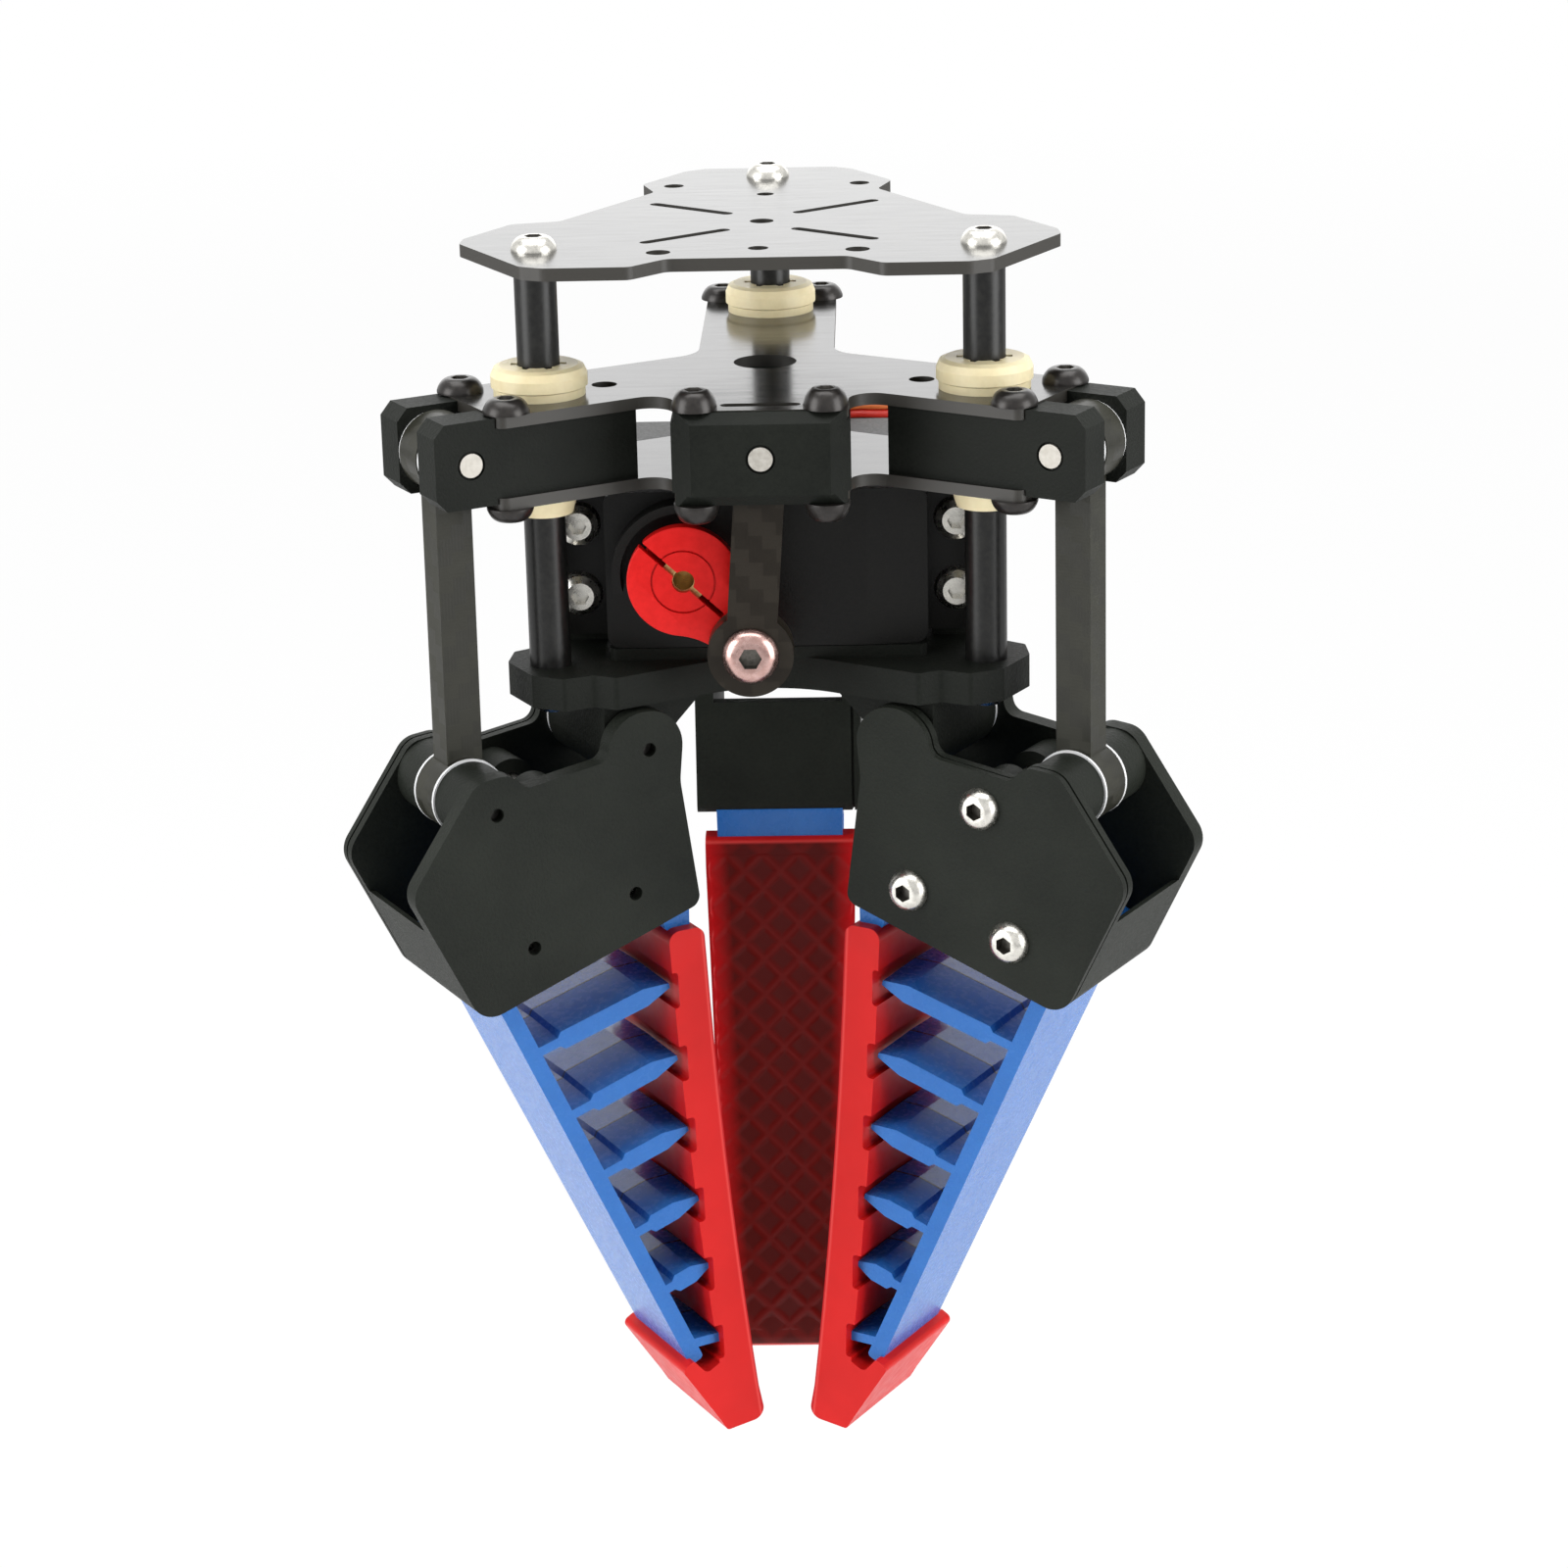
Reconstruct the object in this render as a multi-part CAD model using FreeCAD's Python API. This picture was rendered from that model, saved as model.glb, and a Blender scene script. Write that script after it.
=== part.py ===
import FreeCAD, Part
import math
import os

# Three-finger gripper hanging from its top plate.
# Lengths are millimetres, the origin is the middle of the top plate's upper face, +Z is up.
# An arm piece is drawn once with X outwards, Y across the arm and Z up, then turned to its azimuth.

os.makedirs("parts", exist_ok=True)
Vec = FreeCAD.Vector
ARMS = {"left": 210.0, "right": 330.0, "back": 90.0}
SAME_POINT = 1e-6
NEARLY_ONE = 0.999


# Drawing helpers

def to_point(axis, u, v, along):
    """Point of a section drawn across one axis, at a place along it."""
    if axis == "z":
        return Vec(u, v, along)
    if axis == "y":
        return Vec(u, along, v)
    return Vec(along, u, v)


def direction(axis, size):
    if axis == "z":
        return Vec(0, 0, size)
    if axis == "y":
        return Vec(0, size, 0)
    return Vec(size, 0, 0)


def rounded_points(corners):
    """Ends and middle of the tangent arc at every corner (u, v, radius)."""
    rounded = []
    count = len(corners)
    for index in range(count):
        u, v, radius = corners[index]
        before = corners[index - 1]
        after = corners[(index + 1) % count]
        back = Vec(before[0] - u, before[1] - v, 0).normalize()
        ahead = Vec(after[0] - u, after[1] - v, 0).normalize()
        here = Vec(u, v, 0)
        if radius <= 0:
            rounded.append((here, None, here))
            continue
        half = back.getAngle(ahead) / 2
        reach = radius / math.tan(half)
        inward = (back + ahead).normalize()
        middle = here + inward * (radius / math.sin(half) - radius)
        rounded.append((here + back * reach, middle, here + ahead * reach))
    return rounded


def outline(corners, axis, along):
    """Closed wire through corners (u, v, radius) with tangent arcs."""
    rounded = rounded_points(corners)
    edges = []
    count = len(rounded)
    for index in range(count):
        start, middle, end = rounded[index]
        a = to_point(axis, start.x, start.y, along)
        b = to_point(axis, end.x, end.y, along)
        if middle is not None:
            m = to_point(axis, middle.x, middle.y, along)
            edges.append(Part.Arc(a, m, b).toShape())
        following = rounded[(index + 1) % count][0]
        c = to_point(axis, following.x, following.y, along)
        if b.distanceToPoint(c) > SAME_POINT:
            edges.append(Part.LineSegment(b, c).toShape())
    return Part.Wire(edges)


def prism(corners, axis, start, end):
    """Solid from a rounded outline, from one place along its axis to another."""
    face = Part.Face(outline(corners, axis, start))
    return face.extrude(direction(axis, end - start))


def block(x0, x1, y0, y1, z0, z1):
    return Part.makeBox(x1 - x0, y1 - y0, z1 - z0, Vec(x0, y0, z0))


def rod(axis, u, v, radius, start, end):
    """Round bar along an axis."""
    return Part.makeCylinder(radius, end - start, to_point(axis, u, v, start), direction(axis, 1))


def ring(axis, u, v, outer, inner, start, end):
    return rod(axis, u, v, outer, start, end).cut(rod(axis, u, v, inner, start, end))


def slot_bar(u0, v0, u1, v1, radius, start, end):
    """Upright bar with a slot's outline, round at both ends."""
    run = Vec(u1 - u0, v1 - v0, 0).normalize()
    side = Vec(-run.y, run.x, 0) * radius
    corners = []
    for u, v, sign in ((u0, v0, 1), (u0, v0, -1), (u1, v1, -1), (u1, v1, 1)):
        stretch = -radius if (u, v) == (u0, v0) else radius
        place = Vec(u, v, 0) + run * stretch + side * sign
        corners.append((place.x, place.y, radius * NEARLY_ONE))
    return prism(corners, "z", start, end)


def revolve(profile, centre):
    """Turned piece about an upright axis, from a closed (radius, height) profile."""
    points = [Vec(centre[0] + r, centre[1], centre[2] + h) for r, h in profile]
    points.append(points[0])
    face = Part.Face(Part.makePolygon(points))
    return face.revolve(Vec(*centre), Vec(0, 0, 1), 360)


def turned(shape, azimuth):
    copy = shape.copy()
    copy.rotate(Vec(0, 0, 0), Vec(0, 0, 1), azimuth)
    return copy


def joined(shapes):
    whole = shapes[0]
    if len(shapes) > 1:
        whole = whole.fuse(list(shapes[1:]))
    return whole.removeSplitter()


def without(shape, cutters):
    return shape.cut(list(cutters))


def group(shapes):
    return Part.makeCompound(list(shapes))


def on_all_arms(shape):
    return [turned(shape, azimuth) for azimuth in ARMS.values()]


def save(name, shape):
    shape.exportStep("parts/" + name + ".step")
    print(name, "valid" if shape.isValid() else "NOT VALID", round(shape.Volume, 1), len(shape.Solids))


# Screws

THREAD_R = 1.5
THREAD_GAP = 0.05
SHANK_R = THREAD_R - THREAD_GAP
CLEAR_R = THREAD_R + 0.1
THROUGH = 1.0


def button_screw(head_r, head_h, length, key, shank_r=SHANK_R):
    """Button head screw standing on z = 0 with its shank pointing down."""
    crown = head_r * 0.62
    profile = [
        (0, -length), (shank_r, -length), (shank_r, 0), (head_r, 0),
        (head_r * 0.9, head_h * 0.6), (crown, head_h), (0, head_h),
    ]
    whole = revolve(profile, (0, 0, 0))
    socket = []
    for step in range(6):
        angle = math.radians(60 * step)
        socket.append((key / math.sqrt(3) * math.cos(angle), key / math.sqrt(3) * math.sin(angle), 0))
    return whole.cut(prism(socket, "z", head_h * 0.35, head_h + 1))


def put(screw, heading, place):
    """Screw with its head pointing up, down or forwards (towards -Y), its seat at a place."""
    copy = screw.copy()
    turn = {"up": 0, "down": 180, "front": 90, "rear": -90}[heading]
    copy.rotate(Vec(0, 0, 0), Vec(1, 0, 0), turn)
    copy.translate(Vec(*place))
    return copy


# Levels and main sizes

PLATE_T = 1.5
TOP_PLATE_Z = (-1.6, 0.0)
UPPER_Z = (-18.0 - PLATE_T, -18.0)
LOWER_Z = (-28.2 - PLATE_T, -28.2)
BASE_Z = (-57.0, -52.8)
COLUMN_AT = 31.7
COLUMN_R = 2.625
ARM_SCREW_AT = 39.4
ARM_SCREW_SIDE = 6.7
LOBE_SCREW = (8.0, -25.4)
SMALL_R = 1.1
SMALL_CLEAR_R = 1.25
CLEVIS_AT = 44.92
CLEVIS_Z = -23.64
PIVOT_AT = 23.8
PIVOT_Z = -62.6
LINK_PIN_AT = 45.1
LINK_PIN_Z = -67.4
PIN_R = 1.5
PRESS_GAP = 0.01
RUN_GAP = 0.04
RUN_R = PIN_R + RUN_GAP
PIN_BODY_R = PIN_R - PRESS_GAP
LINK_HALF = 2.1
LINK_EYE_R = 4.9
EYE_HALF = 2.45
SIDE_GAP = 0.05
WASHER_T = 0.4
WASHER_IN = EYE_HALF + SIDE_GAP
WASHER_OUT = WASHER_IN + WASHER_T
CLEVIS_SLOT = WASHER_OUT + SIDE_GAP
CLEVIS_HALF = 8.0

silver_plate_screw = button_screw(2.85, 1.7, 8.0, 2.0)
black_screw = button_screw(2.8, 2.4, 5.5, 2.0, SMALL_R - THREAD_GAP)


# Top plate

TOP_WAIST = (21.1, 14.6, 1.8)
TOP_SHOULDER = (27.0, 16.4, 1.6)
TOP_CORNER = (36.0, 11.2, 2.0)
TOP_END = (37.8, 8.6, 1.6)
top_arm = []
for r, t, radius in (TOP_WAIST, TOP_SHOULDER, TOP_CORNER, TOP_END):
    top_arm.append((r, -t, radius))
for r, t, radius in (TOP_END, TOP_CORNER, TOP_SHOULDER, TOP_WAIST):
    top_arm.append((r, t, radius))
top_corners = []
for azimuth in (330.0, 90.0, 210.0):
    cosine = math.cos(math.radians(azimuth))
    sine = math.sin(math.radians(azimuth))
    for r, t, radius in top_arm:
        top_corners.append((r * cosine - t * sine, r * sine + t * cosine, radius))
top_plate = prism(top_corners, "z", TOP_PLATE_Z[0], TOP_PLATE_Z[1])
cutters = []
for x, y, radius in (
    (0, 0, 1.5), (0, 18.5, 1.1), (0, -17.4, 1.25), (-12.1, -19.1, 1.5),
    (12.1, -19.1, 1.5), (-12.2, 25.4, 1.3), (12.2, 25.4, 1.3),
):
    cutters.append(rod("z", x, y, radius, -2, 1))
for side in (-1, 1):
    for end in (-1, 1):
        cutters.append(slot_bar(side * 4.6, end * 5.5, side * 13.9, end * 12.6, 0.8, -2, 1))
cutters.extend(on_all_arms(rod("z", COLUMN_AT, 0, CLEAR_R, TOP_PLATE_Z[0] - THROUGH, THROUGH)))
top_plate = without(top_plate, cutters)
save("top_plate", top_plate)

column = rod("z", COLUMN_AT, 0, COLUMN_R, BASE_Z[1], TOP_PLATE_Z[0])
column = without(column, [
    rod("z", COLUMN_AT, 0, THREAD_R, TOP_PLATE_Z[0] - 9, TOP_PLATE_Z[0]),
    rod("z", COLUMN_AT, 0, THREAD_R, BASE_Z[1], BASE_Z[1] + 9),
])
for name, azimuth in ARMS.items():
    save("column_" + name, turned(column, azimuth))
save("top_screws", group(on_all_arms(put(silver_plate_screw, "up", (COLUMN_AT, 0, TOP_PLATE_Z[1])))))


# Carriage plates

def carriage_plate(z0, z1):
    corners = []
    for azimuth in (330.0, 90.0, 210.0):
        cosine = math.cos(math.radians(azimuth))
        sine = math.sin(math.radians(azimuth))
        for r, t, radius in ((41.5, -8.7, 1.2), (41.5, 8.7, 1.2), (5.02, 8.7, 5.0)):
            if azimuth == 210.0 and r < 10:
                continue
            corners.append((r * cosine - t * sine, r * sine + t * cosine, radius))
    lobe = [
        (-10.7, -16.2, 3.0), (-10.7, -26.5, 2.4), (10.7, -26.5, 2.4), (10.7, -16.2, 3.0),
    ]
    plate = prism(corners + lobe, "z", z0, z1)
    holes = [rod("z", 0, 0, 4.0, z0 - 1, z1 + 1)]
    for side in (-1, 1):
        holes.append(rod("z", side * LOBE_SCREW[0], LOBE_SCREW[1], SMALL_CLEAR_R, z0 - 1, z1 + 1))
        arm_hole = rod("z", ARM_SCREW_AT, side * ARM_SCREW_SIDE, SMALL_CLEAR_R, z0 - 1, z1 + 1)
        holes.extend(on_all_arms(arm_hole))
    holes.extend(on_all_arms(rod("z", COLUMN_AT, 0, 4.5, z0 - 1, z1 + 1)))
    for azimuth in (210.0, 330.0):
        holes.append(turned(rod("z", 22.8, 0, 1.6, z0 - 1, z1 + 1), azimuth))
    return plate, holes


upper_plate, holes = carriage_plate(UPPER_Z[0], UPPER_Z[1])
holes.append(slot_bar(-4.1, -23.7, 4.1, -23.7, 0.8, UPPER_Z[0] - 1, UPPER_Z[1] + 1))
save("carriage_upper_plate", without(upper_plate, holes))
lower_plate, holes = carriage_plate(LOWER_Z[0], LOWER_Z[1])
holes.append(block(-4.9, 4.9, -25.9, -21.5, LOWER_Z[0] - 1, LOWER_Z[1] + 1))
save("carriage_lower_plate", without(lower_plate, holes))


# Guide bushes

BUSH_IN = COLUMN_R + 0.065
BUSH_BODY_R = 4.4
BUSH_TOP = -14.2
bush_profile = [
    (BUSH_IN, -33.0), (3.6, -33.0), (BUSH_BODY_R, -30.4), (BUSH_BODY_R, UPPER_Z[1]), (5.7, UPPER_Z[1]),
    (5.7, -17.0), (6.0, -16.8), (6.0, -15.4), (5.6, -14.5), (4.9, BUSH_TOP), (BUSH_IN, BUSH_TOP),
]
bush = revolve(bush_profile, (0, 0, 0))
notches = []
for step in range(6):
    notch = block(BUSH_IN - 0.4, BUSH_IN + 0.75, -0.55, 0.55, BUSH_TOP - 1.6, BUSH_TOP + THROUGH)
    notches.append(turned(notch, 60 * step + 30))
bush = without(bush, notches)
bush.translate(Vec(COLUMN_AT, 0, 0))
for name, azimuth in ARMS.items():
    save("bush_" + name, turned(bush, azimuth))


# Clevis blocks

waist = prism([
    (22.5, -19.5, 0), (42.0, -19.5, 0), (42.0, -28.2, 0), (22.5, -28.2, 0),
], "y", -CLEVIS_HALF, CLEVIS_HALF)
nose = prism([
    (41.6, -18.2, 0), (48.3, -18.2, 0), (49.7, -19.8, 0),
    (49.7, -27.5, 0), (48.3, -29.0, 0), (41.6, -29.0, 0),
], "y", -CLEVIS_HALF, CLEVIS_HALF)
clevis = joined([waist, nose])
PIN_SINK = 0.5
PIN_SINK_R = PIN_R + 0.3
clevis = without(clevis, [
    prism([
        (39.2, -CLEVIS_SLOT, 1.2), (39.2, CLEVIS_SLOT, 1.2), (51.0, CLEVIS_SLOT, 0), (51.0, -CLEVIS_SLOT, 0),
    ], "z", -30, -18),
    rod("y", CLEVIS_AT, CLEVIS_Z, PIN_R, -CLEVIS_HALF - THROUGH, CLEVIS_HALF + THROUGH),
    rod("y", CLEVIS_AT, CLEVIS_Z, PIN_SINK_R, -CLEVIS_HALF - THROUGH, PIN_SINK - CLEVIS_HALF),
    rod("y", CLEVIS_AT, CLEVIS_Z, PIN_SINK_R, CLEVIS_HALF - PIN_SINK, CLEVIS_HALF + THROUGH),
    rod("z", COLUMN_AT, 0, BUSH_BODY_R + SIDE_GAP, -30, -18),
    rod("z", ARM_SCREW_AT, -ARM_SCREW_SIDE, SMALL_R, -30, -18),
    rod("z", ARM_SCREW_AT, ARM_SCREW_SIDE, SMALL_R, -30, -18),
])
for name, azimuth in ARMS.items():
    save("clevis_block_" + name, turned(clevis, azimuth))
clevis_pin = rod("y", CLEVIS_AT, CLEVIS_Z, PIN_BODY_R, -CLEVIS_HALF, CLEVIS_HALF)
save("clevis_pins", group(on_all_arms(clevis_pin)))
WASHER_R = 4.75
clevis_washers = []
for start in (-WASHER_OUT, WASHER_IN):
    washer = ring("y", CLEVIS_AT, CLEVIS_Z, WASHER_R, RUN_R, start, start + WASHER_T)
    clevis_washers.extend(on_all_arms(washer))

# Drive clevis block at the front, with the pin and spacers of the drive link

BLOCK_HALF = 10.9
BLOCK_FRONT = -28.6
BLOCK_BEVEL = 2.4
LIP_BACK = -26.6
front_corners = [
    (-BLOCK_HALF, BLOCK_FRONT + BLOCK_BEVEL, 0), (-BLOCK_HALF + BLOCK_BEVEL, BLOCK_FRONT, 0),
    (BLOCK_HALF - BLOCK_BEVEL, BLOCK_FRONT, 0), (BLOCK_HALF, BLOCK_FRONT + BLOCK_BEVEL, 0),
]
drive_body = prism(
    front_corners + [(BLOCK_HALF, -18.0, 2.0), (-BLOCK_HALF, -18.0, 2.0)], "z", LOWER_Z[1], UPPER_Z[0])
lip_corners = front_corners + [(BLOCK_HALF, LIP_BACK + 0.8, 0), (-BLOCK_HALF, LIP_BACK + 0.8, 0)]
drive_lip = prism(lip_corners, "z", LOWER_Z[0], -18.1)
drive_nose = prism([
    (LIP_BACK, -18.1, 0), (-27.2, -18.1, 0), (BLOCK_FRONT, -19.3, 0),
    (BLOCK_FRONT, -27.6, 0), (-27.0, LOWER_Z[0], 0), (LIP_BACK, LOWER_Z[0], 0),
], "x", -BLOCK_HALF, BLOCK_HALF)
drive_block = joined([drive_body, drive_lip.common(drive_nose)])
DRIVE_SLOT = (-25.9, -21.5)
cutters = [
    block(-4.9, 4.9, DRIVE_SLOT[0], DRIVE_SLOT[1], -30, -18),
    rod("y", 0, CLEVIS_Z, PIN_R, BLOCK_FRONT, -17),
    rod("y", 0, CLEVIS_Z, PIN_SINK_R, BLOCK_FRONT - THROUGH, BLOCK_FRONT + PIN_SINK),
]
for side in (-1, 1):
    cutters.append(rod("z", side * LOBE_SCREW[0], LOBE_SCREW[1], SMALL_R, -30, -18))
save("drive_clevis_block", without(drive_block, cutters))
save("drive_pin", rod("y", 0, CLEVIS_Z, PIN_BODY_R, BLOCK_FRONT, -18.0))
for start in (DRIVE_SLOT[0], DRIVE_SLOT[1] - 0.43):
    clevis_washers.append(ring("y", 0, CLEVIS_Z, 3.2, RUN_R, start, start + 0.43))
save("clevis_washers", group(clevis_washers))

upper_screws = []
lower_screws = []
for side in (-1, 1):
    for heading, level, screws in (("up", UPPER_Z[1], upper_screws), ("down", LOWER_Z[0], lower_screws)):
        screws.append(put(black_screw, heading, (side * LOBE_SCREW[0], LOBE_SCREW[1], level)))
        screws.extend(on_all_arms(put(black_screw, heading, (ARM_SCREW_AT, side * ARM_SCREW_SIDE, level))))
save("carriage_upper_screws", group(upper_screws))
save("carriage_lower_screws", group(lower_screws))


# Drive link, horn and crank screw

SHAFT = (-10.15, -40.8)
CRANK_R = 11.845
CRANK_ANGLE = math.radians(-45.86)
CRANK = (SHAFT[0] + CRANK_R * math.cos(CRANK_ANGLE), SHAFT[1] + CRANK_R * math.sin(CRANK_ANGLE))


def strap(axis, top, top_eye, low, low_eye, top_width, low_width, start, end):
    """Flat link with round eyes and a tapering strap between them."""
    run = Vec(low[0] - top[0], low[1] - top[1], 0).normalize()
    side = Vec(-run.y, run.x, 0)
    corners = []
    stations = ((top, top_width, 1), (low, low_width, 1), (low, low_width, -1), (top, top_width, -1))
    for place, width, sign in stations:
        corner = Vec(place[0], place[1], 0) + side * (width / 2 * sign)
        corners.append((corner.x, corner.y, 0))
    bar = prism(corners, axis, start, end)
    eyes = [rod(axis, top[0], top[1], top_eye, start, end), rod(axis, low[0], low[1], low_eye, start, end)]
    return joined([bar] + eyes)


DRIVE_LINK_Y = (-25.4, -22.0)
drive_link = strap("y", (0, CLEVIS_Z), 4.0, CRANK, 5.35, 6.2, 6.2, DRIVE_LINK_Y[0], DRIVE_LINK_Y[1])
drive_link = without(drive_link, [
    rod("y", 0, CLEVIS_Z, RUN_R, -30, -15),
    rod("y", CRANK[0], CRANK[1], 2.2, -30, -15),
])
save("drive_link", drive_link)

HORN_Y = (-21.6, -15.6)
HORN_RIM_T = 1.6
HORN_R = 7.2
CRANK_EYE_R = 5.0
HUB_R = 5.6
HUB_BORE_R = 3.0
SHAFT_R = HUB_BORE_R - THREAD_GAP
lean = math.asin((HORN_R - CRANK_EYE_R) / CRANK_R)
lobe_corners = []
for place, radius, sign in (
    (SHAFT, HORN_R, 1), (CRANK, CRANK_EYE_R, 1), (CRANK, CRANK_EYE_R, -1), (SHAFT, HORN_R, -1),
):
    angle = CRANK_ANGLE + sign * (math.pi / 2 - lean)
    lobe_corners.append((place[0] + radius * math.cos(angle), place[1] + radius * math.sin(angle), 0))
rim_back = HORN_Y[0] + HORN_RIM_T
horn = joined([
    rod("y", SHAFT[0], SHAFT[1], HORN_R, HORN_Y[0], rim_back),
    prism(lobe_corners, "y", HORN_Y[0], rim_back),
    rod("y", CRANK[0], CRANK[1], CRANK_EYE_R, HORN_Y[0], rim_back),
    rod("y", SHAFT[0], SHAFT[1], HUB_R, HORN_Y[0], HORN_Y[1]),
    rod("y", CRANK[0], CRANK[1], 4.0, HORN_Y[0], HORN_Y[1]),
    strap("y", SHAFT, HUB_BORE_R + 1, CRANK, 4.0, 5.0, 5.0, HORN_Y[0], HORN_Y[1]),
])
slit = block(-HORN_R - THROUGH, 6.6, HORN_Y[0] - THROUGH, HORN_Y[1] + THROUGH, -0.35, 0.35)
slit.rotate(Vec(0, 0, 0), Vec(0, 1, 0), 43)
slit.translate(Vec(SHAFT[0], 0, SHAFT[1]))
GROOVE_R = 3.95
horn = without(horn, [
    rod("y", SHAFT[0], SHAFT[1], HUB_BORE_R, HORN_Y[0] + 0.9, HORN_Y[1] + THROUGH),
    rod("y", SHAFT[0], SHAFT[1], 1.4, HORN_Y[0] - THROUGH, HORN_Y[0] + 1.5),
    ring("y", SHAFT[0], SHAFT[1], GROOVE_R + 0.12, GROOVE_R - 0.12, HORN_Y[0] - THROUGH, HORN_Y[0] + 0.4),
    rod("y", CRANK[0], CRANK[1], THREAD_R, HORN_Y[0] - THROUGH, HORN_Y[1] + THROUGH),
    slit,
])
save("servo_horn", horn)

GEAR_TEETH = 24
GEAR_R = 7.7
GEAR_ROOT_R = 6.9
gear_corners = []
for step in range(GEAR_TEETH):
    for offset, radius in ((-0.28, GEAR_ROOT_R), (-0.14, GEAR_R), (0.14, GEAR_R), (0.28, GEAR_ROOT_R)):
        angle = 2 * math.pi * (step + offset) / GEAR_TEETH
        gear_corners.append((SHAFT[0] + radius * math.cos(angle), SHAFT[1] + radius * math.sin(angle), 0))
shaft = joined([
    rod("y", SHAFT[0], SHAFT[1], SHAFT_R, HORN_Y[0] + 1.0, -9.0),
    prism(gear_corners, "y", -13.0, -9.8),
])
shaft = shaft.cut(rod("y", SHAFT[0], SHAFT[1], 1.3, -22, -14))
save("output_shaft", shaft)

crank_screw = button_screw(3.5, 1.5, 9.2, 2.5)
save("crank_screw", put(crank_screw, "front", (CRANK[0], -25.5, CRANK[1])))


# Servo

CASE_X = 20.2
CASE_Z = (-51.2, -31.0)
CASE_FRONT = -15.0
EAR_Y = (-8.3, -5.5)
MID_BACK = 13.0
CASE_BACK = 22.5
CASE_WALL = 1.6
CASE_CORNER = 1.6
POST_R = 2.4
POST_BORE_R = 1.1


def case_outline(radius):
    return [
        (-CASE_X, CASE_Z[0], radius), (CASE_X, CASE_Z[0], radius),
        (CASE_X, CASE_Z[1], radius), (-CASE_X, CASE_Z[1], radius),
    ]


def inner_outline(wall, radius):
    return [
        (-CASE_X + wall, CASE_Z[0] + wall, radius), (CASE_X - wall, CASE_Z[0] + wall, radius),
        (CASE_X - wall, CASE_Z[1] - wall, radius), (-CASE_X + wall, CASE_Z[1] - wall, radius),
    ]


CASE_SCREWS = [(-17.6, -48.6), (17.6, -48.6), (17.6, -33.6), (-17.6, -33.6)]
gearbox = prism(case_outline(CASE_CORNER), "y", CASE_FRONT, EAR_Y[0])
RIDGE_FRONT = CASE_FRONT - 3.6
ridge = ring("y", SHAFT[0], SHAFT[1], 9.1, 8.0, RIDGE_FRONT, CASE_FRONT)
ridge = ridge.common(prism([
    (SHAFT[0], SHAFT[1], 0), (SHAFT[0], SHAFT[1] + 12, 0), (SHAFT[0] - 12, SHAFT[1] + 12, 0),
    (SHAFT[0] - 12, SHAFT[1] - 3.2, 0),
], "y", RIDGE_FRONT, CASE_FRONT))
collar = ring("y", SHAFT[0], SHAFT[1], 5.0, SHAFT_R + 0.3, CASE_FRONT - 0.4, CASE_FRONT)
gearbox = joined([gearbox, ridge, collar])
case_inner = inner_outline(CASE_WALL, 1.0)
gearbox = gearbox.cut(prism(case_inner, "y", CASE_FRONT + CASE_WALL, EAR_Y[0] + THROUGH))
case_shape = prism(case_outline(CASE_CORNER), "y", CASE_FRONT, CASE_BACK)


def case_posts(radius, start, end):
    """Screw posts in the case's four corners, cut to its outline."""
    return [rod("y", x, z, radius, start, end).common(case_shape) for x, z in CASE_SCREWS]


gearbox = joined([gearbox] + case_posts(POST_R, CASE_FRONT + CASE_WALL, EAR_Y[0]))
SIDE_BEVEL = (12.6, 0.9)
cutters = [
    rod("y", SHAFT[0], SHAFT[1], SHAFT_R + 0.3, CASE_FRONT - 2, CASE_FRONT + 3),
    prism([
        (SIDE_BEVEL[0], CASE_FRONT, 0), (CASE_X + 1, CASE_FRONT, 0),
        (CASE_X + 1, CASE_FRONT + SIDE_BEVEL[1], 0),
    ], "z", CASE_Z[0] - 1, CASE_Z[1] + 1),
]
CASE_SCREW_R = 0.8
for x, z in CASE_SCREWS:
    cutters.append(rod("y", x, z, CASE_SCREW_R + THREAD_GAP, CASE_FRONT + 2, 0))
save("servo_gearbox_cover", without(gearbox, cutters))

mid_case = prism(case_outline(CASE_CORNER), "y", EAR_Y[0], MID_BACK)
EAR_X = 27.2
ears = prism([
    (-EAR_X, CASE_Z[0], 1.5), (EAR_X, CASE_Z[0], 1.5), (EAR_X, CASE_Z[1], 1.5), (-EAR_X, CASE_Z[1], 1.5),
], "y", EAR_Y[0], EAR_Y[1])
mid_case = joined([mid_case, ears])
mid_case = mid_case.cut(prism(case_inner, "y", EAR_Y[1] + 0.6, MID_BACK + THROUGH))
mid_case = joined([mid_case] + case_posts(POST_R, EAR_Y[1], MID_BACK))
MOTOR = (9.0, -41.1)
MOTOR_R = 8.0
cutters = [
    rod("y", SHAFT[0], SHAFT[1], SHAFT_R + 0.1, EAR_Y[0] - THROUGH, EAR_Y[0] + 1.3),
    rod("y", MOTOR[0], MOTOR[1], 1.4, EAR_Y[0] - THROUGH, 0),
]
for x, z in CASE_SCREWS:
    cutters.append(rod("y", x, z, POST_BORE_R, EAR_Y[0] - THROUGH, MID_BACK + THROUGH))
EAR_SCREWS = [(-23.9, -36.6), (23.9, -36.6), (-23.9, -45.8), (23.9, -45.8)]
for x, z in EAR_SCREWS:
    cutters.append(rod("y", x, z, CLEAR_R + 0.05, EAR_Y[0] - THROUGH, EAR_Y[1] + 0.5))
save("servo_mid_case", without(mid_case, cutters))

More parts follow.
